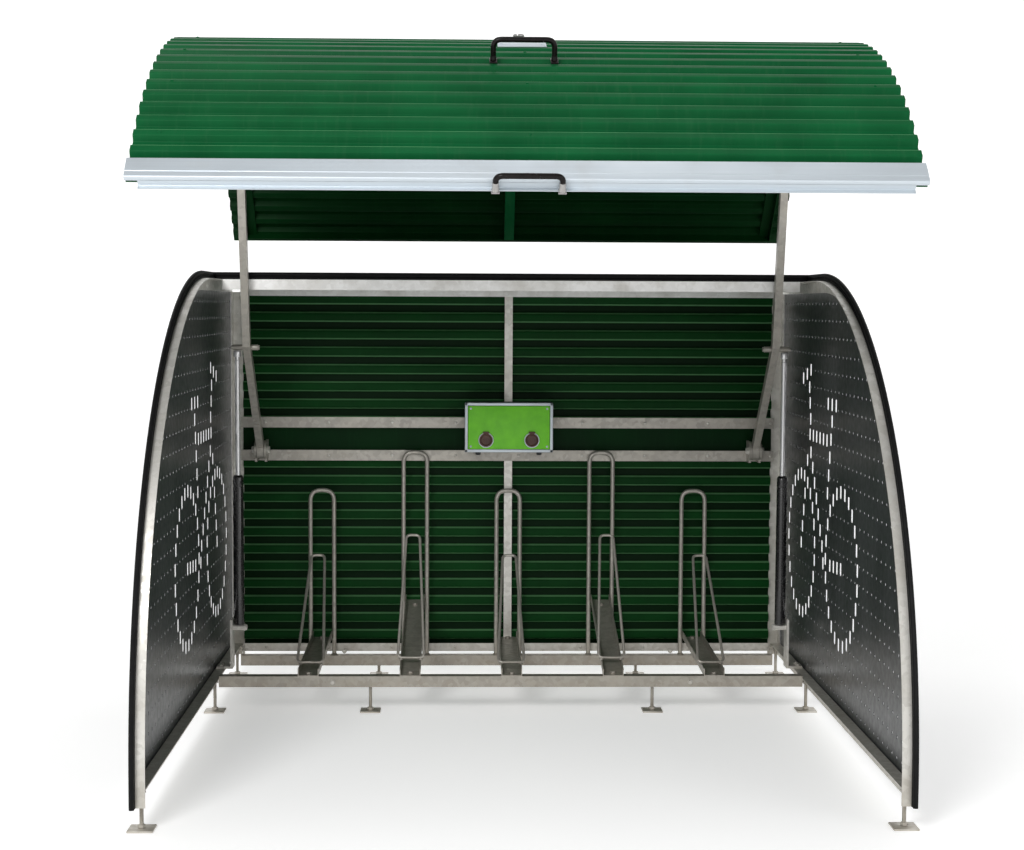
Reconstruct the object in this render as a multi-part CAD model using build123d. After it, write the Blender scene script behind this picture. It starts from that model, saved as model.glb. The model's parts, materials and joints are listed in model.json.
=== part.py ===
from build123d import *
import math
import os

# Bike hangar for five bikes. X runs across the front, +Y to the rear, +Z up.
# All lengths are millimetres. The lid is modelled raised, turned about its rear pivot.

# Overall form
half_width = 1054.0
depth = 2150.0
arch_radius = 1350.0
arch_spring_height = 146.0
base_height = 68.0

# Side frames
angle_leg = 40.0
angle_wall = 4.0
panel_wall = 2.0
panel_margin = 6.0
seal_height = 25.0
seal_width = 14.0
bottom_rail_height = 50.0
rear_post_leg = 45.0

# Bicycle figure of upright slots in the side panels
slot_width = 26.0
slot_height = 42.0
slot_pitch = 62.0
slot_web = 6.0
figure_wheel = 500.0
figure_wheelbase = 690.0
figure_rear_hub = 1030.0
figure_hub_height = 560.0
chain_stay_shares = ((0.0, 0.0), (0.42, -0.03))
seat_tube_shares = ((0.42, -0.03), (0.25, 0.68))
down_tube_shares = ((0.45, 0.05), (0.77, 0.49))
top_tube_shares = ((0.28, 0.58), (0.80, 0.58))
fork_shares = ((1.0, 0.0), (0.80, 0.62))
stem_shares = ((0.79, 0.66), (0.83, 0.82))
saddle_shares = ((0.16, 0.76), (0.35, 0.76))
bar_shares = ((0.80, 0.91), (1.0, 0.86))

# Roof strip and rear wall
roof_level_run = 244.0
roof_front = arch_radius + roof_level_run
roof_rail_height = 36.0
roof_rail_depth = 40.0
roof_sheet_wall = 3.0
roof_sheet_fold = 20.0
rear_rail_height = 30.0
rear_rail_depth = 30.0
mid_rail_height = 40.0
lower_mid_rail_level = 820.0
rear_strip_height = 85.0
rear_bottom_rail_level = 90.0
wall_sheet_wall = 2.5
wall_wave_pitch = 66.0
wall_wave_depth = 18.0
mullion_width = 30.0
mullion_depth = 12.0

# Base beams and levelling feet
beam_height = 38.0
beam_depth = 40.0
beam_wall = 4.0
front_beam_level = 89.0
rear_beam_level = 42.0
foot_plate = 70.0
foot_plate_wall = 6.0
foot_rod = 12.0
foot_nut = 22.0
foot_nut_height = 10.0
front_foot_place = 36.0
inner_foot_place = 490.0

# Wheel racks
rack_count = 5
rack_pitch = 352.0
tray_width = 72.0
tray_flange = 24.0
tray_wall = 3.0
rack_run = 644.0
low_tray_angle = 1.5
high_tray_angle = 14.0
hoop_rod = 16.0
hoop_bend = 40.0
low_hoop_height = 717.0
high_hoop_height = 862.0
loop_rod = 10.0
loop_foot_reach = 46.0
loop_top_reach = 24.0
loop_foot_bend = 10.0
loop_top_bend = 20.0
loop_length = 480.0
loop_lean_angle = 42.0
loop_offset = 90.0
bar_sides = 8
bend_steps = 4
weld_gap = 0.3

# Lid
lid_half_width = 1044.0
lid_gap = 8.0
lid_level_run = 236.0
lid_rear = arch_radius + lid_level_run
lid_front_height = 36.0
lid_wave_pitch = 65.0
lid_wave_depth = 18.0
lid_sheet_wall = 2.5
wave_shares = (0.04, 0.16, 0.54, 0.66)
rim_inset = 50.0
rim_width = 40.0
rim_depth = 28.0
rim_wall = 4.0
rib_width = 36.0
fascia_height = 68.0
fascia_depth = 34.0
fascia_wall = 3.0
fascia_overhang = 3.0
fascia_hem = 12.0
lip_inset = 34.0
lid_rear_rail_depth = 34.0

# Hinge, arms and gas springs
hinge_height = 866.0
hinge_rear = 2032.0
open_angle = 44.5
arm_place = 930.0
arm_width = 26.0
arm_deep = 32.0
elbow_rear = 1608.0
elbow_height = 1268.0
arm_lean_angle = 13.5
arm_pad_length = 120.0
arm_pad_wall = 10.0
elbow_pin_reach = 22.0
hinge_eye = 34.0
hinge_pin = 16.0
hinge_pin_gap = 0.3
bracket_wall = 8.0
bracket_gap = 1.5
strut_place = 966.0
strut_pin_rear = 1628.0
strut_pin_height = 1258.0
strut_foot_rear = 1646.0
strut_foot_height = 262.0
tube_diameter = 38.0
tube_length = 545.0
rod_diameter = 18.0
rod_engaged = 60.0
rod_gap = 0.4
rod_head = 26.0
rod_head_length = 24.0
strut_pin = 20.0
strut_pin_gap = 0.6
foot_plate_thick = 8.0
foot_plate_width = 60.0

# Handles and lock
handle_length = 190.0
handle_bar = 16.0
front_handle_reach = 62.0
top_handle_reach = 72.0
handle_post = 18.0
handle_plate = 4.0
front_handle_level = 16.0
front_plate_height = 20.0
top_plate_height = 44.0
top_handle_distance = 600.0
lock_distance = 1147.0
lock_diameter = 34.0
lock_height = 16.0

# Utility box
box_width = 330.0
box_height = 186.0
box_depth = 90.0
box_bezel = 18.0
box_face_depth = 6.0
socket_diameter = 56.0
socket_depth = 14.0
socket_place = 86.0

# Shared helpers


def block(x0, x1, y0, y1, z0, z1):
    """Axis-aligned bar between two opposite corners."""
    centre = ((x0 + x1) / 2, (y0 + y1) / 2, (z0 + z1) / 2)
    return Pos(*centre) * Box(abs(x1 - x0), abs(y1 - y0), abs(z1 - z0))


def mirrored(shape):
    """The same piece on the other side of the middle plane."""
    return mirror(shape, about=Plane.YZ)


def side_profile(outline, x0, x1):
    """Extrude a closed outline of (y, z) edges from x0 to x1."""
    face = make_face(outline)
    return Pos(x0, 0, 0) * extrude(Plane.YZ * face, amount=x1 - x0)


def side_polygon(points, x0, x1):
    return side_profile(Polyline(*points, close=True), x0, x1)


def rod_x(y, z, diameter, x0, x1):
    """Round bar that runs across, from x0 to x1."""
    return side_profile(Pos(y, z) * Edge.make_circle(diameter / 2), x0, x1)


def turned(point, angle):
    """A (y, z) point turned about the lid hinge, positive closes."""
    y = point[0] - hinge_rear
    z = point[1] - hinge_height
    c = math.cos(math.radians(angle))
    s = math.sin(math.radians(angle))
    return (hinge_rear + y * c - z * s, hinge_height + y * s + z * c)


def raised(shape):
    """A lid piece turned from closed to open about the hinge."""
    hinge = Pos(0, hinge_rear, hinge_height)
    return hinge * Rot(-open_angle, 0, 0) * hinge.inverse() * shape


def band(outer, inner, bottom, rear):
    """Outline between two offsets of the arch: upright, quarter circle, level."""
    def edges(offset, start, end):
        radius = arch_radius + offset
        half = math.sqrt(0.5)
        middle = (arch_radius - radius * half, arch_spring_height + radius * half)
        spring = (-offset, arch_spring_height)
        crown = (arch_radius, arch_spring_height + radius)
        foot = (-offset, start)
        tail = (end, arch_spring_height + radius)
        return [Line(foot, spring), ThreePointArc(spring, middle, crown), Line(crown, tail)]
    outside = edges(outer, bottom, rear)
    inside = edges(inner, bottom, rear)
    ends = [Line(outside[0] @ 0, inside[0] @ 0), Line(outside[2] @ 1, inside[2] @ 1)]
    return outside + inside + ends


def wave_points(place, length, pitch, deep, wall):
    """Closed outline of a trapezoid-wave sheet, laid out by place(distance, height)."""
    count = int(length / pitch)
    start = (length - count * pitch) / 2
    levels = (0, deep, deep, 0)
    top = [(0, 0)]
    for wave in range(count):
        for share, level in zip(wave_shares, levels):
            top.append((start + (wave + share) * pitch, level))
    top.append((length, 0))
    upper = [place(along, level + wall) for along, level in top]
    lower = [place(along, level) for along, level in top]
    return upper + lower[::-1]


# Derived levels
arch_top = arch_spring_height + arch_radius
seal_top = arch_top + seal_height
strip_outer = half_width - panel_wall
strip_inner = strip_outer - angle_leg
rear_face = depth
wall_rear = rear_face - angle_wall
wall_front = wall_rear - wall_wave_depth - wall_sheet_wall
rail_front = wall_front - rear_rail_depth
upper_mid_rail_level = lower_mid_rail_level + mid_rail_height + rear_strip_height
roof_sheet_top = arch_top - angle_wall
rear_top_rail_top = roof_sheet_top - roof_sheet_fold
rear_top_rail_level = rear_top_rail_top - rear_rail_height
rear_span = strip_inner
post_inner = strip_outer - rear_post_leg
lid_offset = seal_height + lid_gap
lid_radius = arch_radius + lid_offset
quarter = lid_radius * math.pi / 2
lid_upright = arch_spring_height - lid_front_height
lid_length = lid_upright + quarter + (lid_rear - arch_radius)


def lid_place(along, height):
    """(y, z) on the closed lid, along its inner face from the front edge."""
    if along <= lid_upright:
        return (-lid_offset - height, lid_front_height + along)
    if along >= lid_upright + quarter:
        rest = along - lid_upright - quarter
        return (arch_radius + rest, arch_spring_height + lid_radius + height)
    turn = (along - lid_upright) / lid_radius
    radius = lid_radius + height
    return (arch_radius - radius * math.cos(turn), arch_spring_height + radius * math.sin(turn))


parts = {}

# Side frames: bent angle, flat panel, seal, bottom rail and rear post


def make_arch():
    rear = rear_face
    strip = side_profile(band(0, -angle_wall, base_height, rear), strip_inner, strip_outer)
    upright = band(0, -angle_leg, base_height, rear)
    leg = side_profile(upright, strip_outer - angle_wall, strip_outer)
    return strip + leg


def figure_places():
    """(y, z) along each stroke of the bicycle: two wheels, then the tubes, saddle and bar."""
    radius = figure_wheel / 2
    turns = round(figure_wheel * math.pi / slot_pitch)
    places = []
    for hub in (figure_rear_hub, figure_rear_hub + figure_wheelbase):
        for turn in range(turns):
            angle = 2 * math.pi * turn / turns
            places.append((hub + radius * math.cos(angle), figure_hub_height + radius * math.sin(angle)))
    strokes = (chain_stay_shares, seat_tube_shares, down_tube_shares, top_tube_shares,
               fork_shares, stem_shares, saddle_shares, bar_shares)
    for start_share, end_share in strokes:
        start = Vector(*start_share) * figure_wheelbase
        stroke = Vector(*end_share) * figure_wheelbase - start
        count = max(round(stroke.length / slot_pitch), 1)
        for step in range(count + 1):
            place = start + stroke * (step / count)
            places.append((figure_rear_hub + place.X, figure_hub_height + place.Y))
    return places


def figure_slots():
    """The places that keep a web of sheet between one slot and the next."""
    wide = slot_width + slot_web
    tall = slot_height + slot_web
    kept = []
    for y, z in figure_places():
        if not any(abs(v - y) < wide and abs(w - z) < tall for v, w in kept):
            kept.append((y, z))
    return kept


def make_panel():
    top = band(-panel_margin, -angle_leg, base_height, rear_face)[:3]
    foot = top[0] @ 0
    tail = top[2] @ 1
    corner = (tail.X, base_height)
    outline = top + [Line(tail, corner), Line(corner, (foot.X, foot.Y))]
    panel = side_profile(outline, strip_outer, half_width)
    half_tall = slot_height / 2
    half_wide = slot_width / 2
    slots = [block(strip_outer, half_width, y - half_wide, y + half_wide, z - half_tall, z + half_tall)
             for y, z in figure_slots()]
    return panel - slots


def make_side_seal():
    outline = band(seal_height, 0, base_height, roof_front)
    return side_profile(outline, strip_outer - seal_width, strip_outer)


def make_bottom_rail():
    front = angle_wall
    rear = rear_face - rear_post_leg
    inner = strip_outer - angle_wall
    top = base_height + bottom_rail_height
    upright = block(inner - angle_wall, inner, front, rear, base_height, top)
    shelf = block(strip_inner, inner - angle_wall, front, rear, top - angle_wall, top)
    return upright + shelf


def make_rear_post():
    inner = strip_outer - angle_wall
    top = arch_top - angle_leg
    side = block(inner - angle_wall, inner, rear_face - rear_post_leg, rear_face, base_height, top)
    back = block(post_inner, inner - angle_wall, wall_rear, rear_face, base_height, top)
    return side + back


right_arch = make_arch()
right_panel = make_panel()
right_rail = make_bottom_rail()
right_post = make_rear_post()
parts["right_arch"] = right_arch
parts["left_arch"] = mirrored(right_arch)
parts["right_side_panel"] = right_panel
parts["left_side_panel"] = mirrored(right_panel)
parts["right_bottom_rail"] = right_rail
parts["left_bottom_rail"] = mirrored(right_rail)
parts["right_rear_post"] = right_post
parts["left_rear_post"] = mirrored(right_post)
side_seal = make_side_seal()
cross_seal = block(-strip_outer, strip_outer, roof_front, roof_front + seal_width, arch_top, seal_top)
parts["lid_seal"] = side_seal + mirrored(side_seal) + cross_seal

# Roof strip: front rail, sheet with a folded rear edge


def make_roof_rail():
    rear = roof_front + roof_rail_depth
    top = arch_top - angle_wall
    face = block(-strip_inner, strip_inner, roof_front, roof_front + angle_wall,
                 arch_top - roof_rail_height, arch_top)
    shelf = block(-strip_inner, strip_inner, roof_front + angle_wall, rear, top - angle_wall, top)
    return face + shelf


roof_rear = rear_face - angle_wall
roof_sheet = block(-strip_inner, strip_inner, roof_front + roof_rail_depth, roof_rear,
                   roof_sheet_top - roof_sheet_wall, roof_sheet_top)
roof_sheet += block(-strip_inner, strip_inner, roof_rear - roof_sheet_wall, roof_rear,
                    roof_sheet_top - roof_sheet_fold, roof_sheet_top)
parts["roof_front_rail"] = make_roof_rail()
parts["roof_sheet"] = roof_sheet

# Rear wall: rails, corrugated sheets, flat strip and mullions


def rear_rail(level, height):
    face = block(-rear_span, rear_span, rail_front, rail_front + angle_wall, level, level + height)
    shelf = block(-rear_span, rear_span, rail_front + angle_wall, wall_front, level, level + angle_wall)
    return face + shelf


def wall_sheet(bottom, top):
    def place(along, height):
        return (wall_rear - wall_sheet_wall - wall_wave_depth + height, bottom + along)
    points = wave_points(place, top - bottom, wall_wave_pitch, wall_wave_depth, wall_sheet_wall)
    return side_polygon(points, -post_inner, post_inner)


strip_level = lower_mid_rail_level + mid_rail_height
parts["rear_top_rail"] = rear_rail(rear_top_rail_level, rear_rail_height)
parts["upper_mid_rail"] = rear_rail(upper_mid_rail_level, mid_rail_height)
parts["lower_mid_rail"] = rear_rail(lower_mid_rail_level, mid_rail_height)
parts["rear_bottom_rail"] = rear_rail(rear_bottom_rail_level, rear_rail_height)
parts["rear_wall_upper"] = wall_sheet(upper_mid_rail_level, rear_top_rail_top)
parts["rear_wall_strip"] = block(-post_inner, post_inner, wall_front, wall_front + wall_sheet_wall,
                                 lower_mid_rail_level + angle_wall, upper_mid_rail_level)
parts["rear_wall_lower"] = wall_sheet(rear_bottom_rail_level, lower_mid_rail_level)


def mullion(bottom, top):
    half = mullion_width / 2
    return block(-half, half, wall_front - mullion_depth, wall_front, bottom, top)


upper_mullion = mullion(upper_mid_rail_level + mid_rail_height, rear_top_rail_level)
lower_mullion = mullion(rear_bottom_rail_level + rear_rail_height, lower_mid_rail_level)
parts["rear_mullions"] = Part() + [upper_mullion, lower_mullion]

# Base: two cross beams between the bottom rails, on levelling feet

rail_top = base_height + bottom_rail_height


def angle_beam(front, level):
    """Angle bar with a plate at each end that meets the side's bottom rail."""
    rear = front + beam_depth
    top = level + beam_height
    span = strip_inner
    beam = block(-span, span, front, front + beam_wall, level, top)
    beam += block(-span, span, front + beam_wall, rear, top - beam_wall, top)
    for side in (-1, 1):
        beam += block(side * (span - beam_wall), side * span, front, rear, level, max(top, rail_top))
    return beam


rear_beam_front = rail_front - beam_depth
hoop_y = rear_beam_front + beam_depth / 2
front_beam_front = hoop_y + hoop_rod / 2 - rack_run
parts["front_beam"] = angle_beam(front_beam_front, front_beam_level)
parts["rear_beam"] = angle_beam(rear_beam_front, rear_beam_level)


def levelling_foot(x, y, top):
    """Square plate, threaded stem and a lock nut under the rail that it carries."""
    half = foot_plate / 2
    plate = block(x - half, x + half, y - half, y + half, 0, foot_plate_wall)
    stem_profile = RegularPolygon(foot_rod / 2, bar_sides)
    stem = Pos(x, y, foot_plate_wall) * extrude(stem_profile, amount=top - foot_plate_wall)
    nut_profile = RegularPolygon(foot_nut / 2, 6)
    nut = Pos(x, y, top - foot_nut_height) * extrude(nut_profile, amount=foot_nut_height)
    base_nut = Pos(x, y, foot_plate_wall) * extrude(nut_profile, amount=foot_nut_height)
    return plate + stem + nut + base_nut


side_foot_x = (strip_inner + strip_outer) / 2 - angle_wall
rail_shelf = rail_top - angle_wall
front_beam_shelf = front_beam_level + beam_height - beam_wall
rear_beam_shelf = rear_beam_level + beam_height - beam_wall
middle_foot_y = front_beam_front + beam_depth / 2 + beam_wall / 2
rear_foot_y = rear_beam_front + beam_depth / 2 + beam_wall / 2


def foot_row(y, side_top, inner_top):
    feet = []
    for side in (-1, 1):
        feet.append(levelling_foot(side * side_foot_x, y, side_top))
        if inner_top:
            feet.append(levelling_foot(side * inner_foot_place, y, inner_top))
    return Part() + feet


parts["front_feet"] = foot_row(front_foot_place, rail_shelf, 0)
parts["middle_feet"] = foot_row(middle_foot_y, rail_shelf, front_beam_shelf)
parts["rear_feet"] = foot_row(rear_foot_y, rail_shelf, rear_beam_shelf)

# Wheel racks: sloping channel, tall hoop and leaning loop

tray_front = front_beam_front
tray_seat = front_beam_level + beam_height
hoop_foot = rear_beam_level + beam_height
hoop_reach = tray_width / 2 + weld_gap + hoop_rod / 2


def on_tray(shape, x, angle):
    """Move a piece built at the tray's own front bottom edge to its place and angle."""
    return Pos(x, tray_front, tray_seat) * Rot(angle, 0, 0) * shape


def make_tray(x, angle):
    half = tray_width / 2
    length = rack_run / math.cos(math.radians(angle))
    floor = block(-half, half, 0, length, 0, tray_wall)
    left = block(-half, -half + tray_wall, 0, length, tray_wall, tray_flange)
    right = block(half - tray_wall, half, 0, length, tray_wall, tray_flange)
    return on_tray(floor + left + right, x, angle)


def bend(before, corner, after, radius):
    """Points round one corner of a bent bar, as a few equal chords."""
    run_in = (corner - before).normalized()
    run_out = (after - corner).normalized()
    turn = math.degrees(math.atan2(run_in.cross(run_out).Z, run_in.dot(run_out)))
    chord = 2 * radius * math.sin(math.radians(abs(turn)) / bend_steps / 2)
    places = [corner - run_in * (radius * math.tan(math.radians(abs(turn)) / 2))]
    for step in range(bend_steps):
        heading = run_in.rotate(Axis.Z, turn * (step + 0.5) / bend_steps)
        places.append(places[-1] + heading * chord)
    return places


def bent_bar(points, radii, diameter):
    """Round bar of few sides along points on the XY plane, bent at each inner one."""
    corners = [Vector(*point) for point in points]
    places = [corners[0]]
    for before, corner, after, radius in zip(corners, corners[1:], corners[2:], radii):
        places += bend(before, corner, after, radius)
    path = Polyline(*places, corners[-1])
    start = Plane(origin=path @ 0, z_dir=path % 0)
    section = RegularPolygon(diameter / 2, bar_sides)
    return sweep(start * section, path=path, transition=Transition.RIGHT)


def make_hoop(x, top):
    tall = top - hoop_rod / 2 - hoop_foot
    corners = [(-hoop_reach, 0), (-hoop_reach, tall), (hoop_reach, tall), (hoop_reach, 0)]
    hoop = bent_bar(corners, (hoop_bend, hoop_bend), hoop_rod)
    return Pos(x, hoop_y, hoop_foot) * Rot(90, 0, 0) * hoop


def make_loop(x, angle):
    """Ring of round wire: a wide foot across the tray, a narrow top leaning back."""
    corners = [(0, 0), (loop_foot_reach, 0), (loop_top_reach, loop_length), (0, loop_length)]
    half = bent_bar(corners, (loop_foot_bend, loop_top_bend), loop_rod)
    seat = Pos(0, loop_offset, tray_flange + loop_rod / 2) * Rot(loop_lean_angle, 0, 0)
    return on_tray(seat * (half + mirrored(half)), x, angle)


loops = []
for number in range(rack_count):
    x = (number - (rack_count - 1) / 2) * rack_pitch
    high = number % 2 == 1
    angle = high_tray_angle if high else low_tray_angle
    parts[f"wheel_tray_{number + 1}"] = make_tray(x, angle)
    parts[f"wheel_hoop_{number + 1}"] = make_hoop(x, high_hoop_height if high else low_hoop_height)
    loops.append(make_loop(x, angle))
parts["wheel_loops"] = Part() + loops

# Lid: curved corrugated sheet on two rims, a middle rib, a rear rail and a front fascia

lid_sheet_points = wave_points(lid_place, lid_length, lid_wave_pitch, lid_wave_depth, lid_sheet_wall)
parts["lid_sheet"] = raised(side_polygon(lid_sheet_points, -lid_half_width, lid_half_width))


def curved_bar(x0, x1, deep):
    """Bar that follows the inner face of the lid, between the fascia and the rear rail."""
    outer = lid_offset - weld_gap
    rear = lid_rear - lid_rear_rail_depth - rim_wall
    start = lid_front_height + fascia_height
    return side_profile(band(outer, outer - deep, start, rear), x0, x1)


rim_outer = lid_half_width - rim_inset
right_rim = curved_bar(rim_outer - rim_wall, rim_outer, rim_depth)
right_rim += curved_bar(rim_outer - rim_width, rim_outer, rim_wall)
parts["lid_right_rim"] = raised(right_rim)
parts["lid_left_rim"] = raised(mirrored(right_rim))
parts["lid_centre_rib"] = raised(curved_bar(-rib_width / 2, rib_width / 2, rim_depth))
lid_ceiling = arch_spring_height + lid_radius
rear_rail_front = lid_rear - lid_rear_rail_depth - rim_wall
lid_rear_rail = block(-rim_outer, rim_outer, rear_rail_front, lid_rear - rim_wall,
                      lid_ceiling - rim_wall, lid_ceiling)
lid_rear_rail += block(-rim_outer, rim_outer, rear_rail_front, rear_rail_front + rim_wall,
                       lid_ceiling - rim_depth, lid_ceiling - rim_wall)
parts["lid_rear_rail"] = raised(lid_rear_rail)


def make_fascia():
    """Folded front rail: tall outer face over the sheet edge and a set-back lower lip."""
    outer = -lid_offset - lid_wave_depth - lid_sheet_wall - weld_gap
    front = outer - fascia_wall
    bottom = lid_front_height - fascia_wall
    span = lid_half_width + fascia_overhang
    face = block(-span, span, front, outer, bottom, lid_front_height + fascia_height)
    lip_span = span - lip_inset
    lip = block(-lip_span, lip_span, outer, front + fascia_depth, bottom, lid_front_height)
    hem_rear = front + fascia_depth
    hem = block(-lip_span, lip_span, hem_rear - fascia_wall, hem_rear, bottom - fascia_hem, bottom)
    return face + lip + hem


parts["lid_front_rail"] = raised(make_fascia())

# Arms: bent bars from the rear hinge to the lid, and their pivots

lean = math.radians(arm_lean_angle)
lid_centre_open = turned((arch_radius, arch_spring_height), -open_angle)
arm_run = (-math.sin(lean), math.cos(lean))
from_centre = (elbow_rear - lid_centre_open[0], elbow_height - lid_centre_open[1])
along = from_centre[0] * arm_run[0] + from_centre[1] * arm_run[1]
apart = from_centre[0] ** 2 + from_centre[1] ** 2
rim_under = lid_radius - weld_gap - rim_wall
pad_radius = math.sqrt((rim_under - weld_gap) ** 2 - (arm_pad_length / 2) ** 2)
arm_length = -along + math.sqrt(along ** 2 + pad_radius ** 2 - apart)
arm_top = (elbow_rear + arm_run[0] * arm_length, elbow_height + arm_run[1] * arm_length)
pad_tilt = math.degrees(math.atan2(lid_centre_open[0] - arm_top[0], arm_top[1] - lid_centre_open[1]))


def mitred_bar(points, width):
    """Outline of a bent flat bar along three points, mitred at the middle one."""
    first, knee, last = [Vector(*point) for point in points]
    run_in = (knee - first).normalized()
    run_out = (last - knee).normalized()
    side_in = Vector(-run_in.Y, run_in.X) * (width / 2)
    side_out = Vector(-run_out.Y, run_out.X) * (width / 2)
    mitre = side_in + side_out
    mitre = mitre * (width * width / 2 / mitre.dot(mitre))
    left = [first + side_in, knee + mitre, last + side_out]
    right = [last - side_out, knee - mitre, first - side_in]
    return [(corner.X, corner.Y) for corner in left + right]


def make_arm():
    inner = arm_place - arm_width / 2
    outer = arm_place + arm_width / 2
    past_top = (arm_top[0] + arm_run[0] * arm_deep, arm_top[1] + arm_run[1] * arm_deep)
    points = [(hinge_rear, hinge_height), (elbow_rear, elbow_height), past_top]
    bar = side_polygon(mitred_bar(points, arm_deep), inner, outer)
    pad_frame = Pos(0, arm_top[0], arm_top[1]) * Rot(pad_tilt, 0, 0)
    half = arm_pad_length / 2
    trim = pad_frame * block(0, half_width, -half, half, -arm_pad_wall / 2, half)
    pad = pad_frame * block(inner, rim_outer - rim_wall - weld_gap, -half, half, -arm_pad_wall, 0)
    eye = rod_x(hinge_rear, hinge_height, 2 * hinge_eye, inner, outer)
    bore = rod_x(hinge_rear, hinge_height, hinge_pin + 2 * hinge_pin_gap, inner, outer)
    pin = rod_x(strut_pin_rear, strut_pin_height, strut_pin, inner - elbow_pin_reach,
                strut_place + rod_head / 2)
    return bar - trim + pad + eye - bore + pin


right_arm = make_arm()
parts["right_lid_arm"] = right_arm
parts["left_lid_arm"] = mirrored(right_arm)


def make_hinge_bracket():
    """Two cheeks on the lower middle rail with the hinge pin between them."""
    cheeks = Part()
    gap = arm_width / 2 + bracket_gap
    for side in (-1, 1):
        inner = arm_place + side * gap
        outer = inner + side * bracket_wall
        low = min(inner, outer)
        high = max(inner, outer)
        cheeks += rod_x(hinge_rear, hinge_height, 2 * hinge_eye, low, high)
        cheeks += block(low, high, hinge_rear, rail_front, lower_mid_rail_level, hinge_height + hinge_eye)
    cheeks += rod_x(hinge_rear, hinge_height, hinge_pin, arm_place - gap, arm_place + gap)
    return cheeks


right_bracket = make_hinge_bracket()
parts["hinge_brackets"] = Part() + [right_bracket, mirrored(right_bracket)]

# Gas springs: foot bracket, tube and rod on each side

strut_run = Vector(strut_pin_rear - strut_foot_rear, strut_pin_height - strut_foot_height)
strut_length = strut_run.length
strut_tilt = math.degrees(math.atan2(-strut_run.X, strut_run.Y))
tube_wall = (tube_diameter - rod_diameter) / 2 - rod_gap


def on_strut(shape):
    return Pos(strut_place, strut_foot_rear, strut_foot_height) * Rot(strut_tilt, 0, 0) * shape


def upright_cylinder(diameter, start, length):
    return extrude(Pos(0, 0, start) * Circle(diameter / 2), amount=length)


def make_strut_tube():
    start = strut_pin / 2 + strut_pin_gap
    tube = upright_cylinder(tube_diameter, start, tube_length - start)
    bore = upright_cylinder(rod_diameter + 2 * rod_gap, start + tube_wall, tube_length)
    return on_strut(tube - bore)


def make_strut_rod():
    end = strut_length - strut_pin / 2 - strut_pin_gap
    start = tube_length - rod_engaged
    rod = upright_cylinder(rod_diameter, start, end - start)
    head = upright_cylinder(rod_head, end - rod_head_length, rod_head_length)
    return on_strut(rod + head)


def make_strut_foot():
    """Upright plate on the bottom rail with the lower pivot pin."""
    half = foot_plate_width / 2
    inner = strut_place + tube_diameter / 2 + bracket_gap
    outer = inner + foot_plate_thick
    front = strut_foot_rear - half
    rear = strut_foot_rear + half
    plate = block(inner, outer, front, rear, rail_top, strut_foot_height + half)
    shelf = block(outer, strip_outer - 2 * angle_wall, front, rear, rail_top, rail_top + foot_plate_thick)
    pin = rod_x(strut_foot_rear, strut_foot_height, strut_pin, strut_place - tube_diameter / 2, inner)
    return plate + shelf + pin


right_tube = make_strut_tube()
right_rod = make_strut_rod()
right_foot = make_strut_foot()
parts["right_strut_tube"] = right_tube
parts["left_strut_tube"] = mirrored(right_tube)
parts["right_strut_rod"] = right_rod
parts["left_strut_rod"] = mirrored(right_rod)
parts["strut_feet"] = Part() + [right_foot, mirrored(right_foot)]

# Handles on the lid, each a bar on two posts over a back plate


def make_handle(reach, plate_height):
    """Handle built on the XZ plane, facing -Y, centred on the origin."""
    half = handle_length / 2
    plate = block(-half, half, -handle_plate, 0, -plate_height / 2, plate_height / 2)
    bar_y = -reach + handle_bar / 2
    bar = Pos(0, bar_y, 0) * Rot(0, 90, 0) * Cylinder(handle_bar / 2, handle_length)
    posts = Part()
    for side in (-1, 1):
        x = side * (half - handle_post / 2)
        posts += Pos(x, bar_y / 2, 0) * Rot(90, 0, 0) * Cylinder(handle_post / 2, abs(bar_y))
    return plate + bar + posts


fascia_front = -lid_offset - lid_wave_depth - lid_sheet_wall - weld_gap - fascia_wall
hem_front = fascia_front + fascia_depth - fascia_wall
front_handle = Pos(0, hem_front, front_handle_level) * make_handle(front_handle_reach, front_plate_height)
parts["front_handle"] = raised(front_handle)


def on_lid(distance):
    """Frame on the sheet's crests that faces outward as -Y, at a distance from the front edge."""
    y, z = lid_place(distance, lid_wave_depth + lid_sheet_wall + weld_gap)
    turn = math.degrees((distance - lid_upright) / lid_radius)
    return Pos(0, y, z) * Rot(-turn, 0, 0)


parts["top_handle"] = raised(on_lid(top_handle_distance) * make_handle(top_handle_reach, top_plate_height))
lock = Pos(0, -lock_height / 2, 0) * Rot(90, 0, 0) * Cylinder(lock_diameter / 2, lock_height)
parts["lid_lock"] = raised(on_lid(lock_distance) * lock)

# Utility box on the middle rails: housing, front cover and two sockets

box_half = box_width / 2
box_bottom = lower_mid_rail_level + mid_rail_height
box_top = box_bottom + box_height
box_rear = rail_front
box_front = box_rear - box_depth
parts["utility_box"] = block(-box_half, box_half, box_front, box_rear, box_bottom, box_top)
cover = block(-box_half, box_half, box_front - box_face_depth, box_front, box_bottom, box_top)
cover_sockets = Part()
socket_z = box_bottom + box_bezel + socket_diameter / 2
for side in (-1, 1):
    socket = Pos(side * socket_place, box_front - socket_depth / 2, socket_z)
    cover_sockets += socket * Rot(90, 0, 0) * Cylinder(socket_diameter / 2, socket_depth)
parts["utility_cover"] = cover - cover_sockets
parts["utility_sockets"] = cover_sockets

# Origin under the middle of the whole part, then one file per piece

boxes = [shape.bounding_box() for shape in parts.values()]
front_end = min(box.min.Y for box in boxes)
rear_end = max(box.max.Y for box in boxes)
shift = -(front_end + rear_end) / 2
os.makedirs("parts", exist_ok=True)
for name, shape in parts.items():
    export_step(Pos(0, shift, 0) * shape, f"parts/{name}.step")
print("pieces", len(parts), "shift", shift, "front", front_end, "rear", rear_end)
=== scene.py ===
import json
from math import cos, hypot, pi, radians, sin, tan

import bmesh
import bpy
from mathutils import Matrix, Vector


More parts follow.
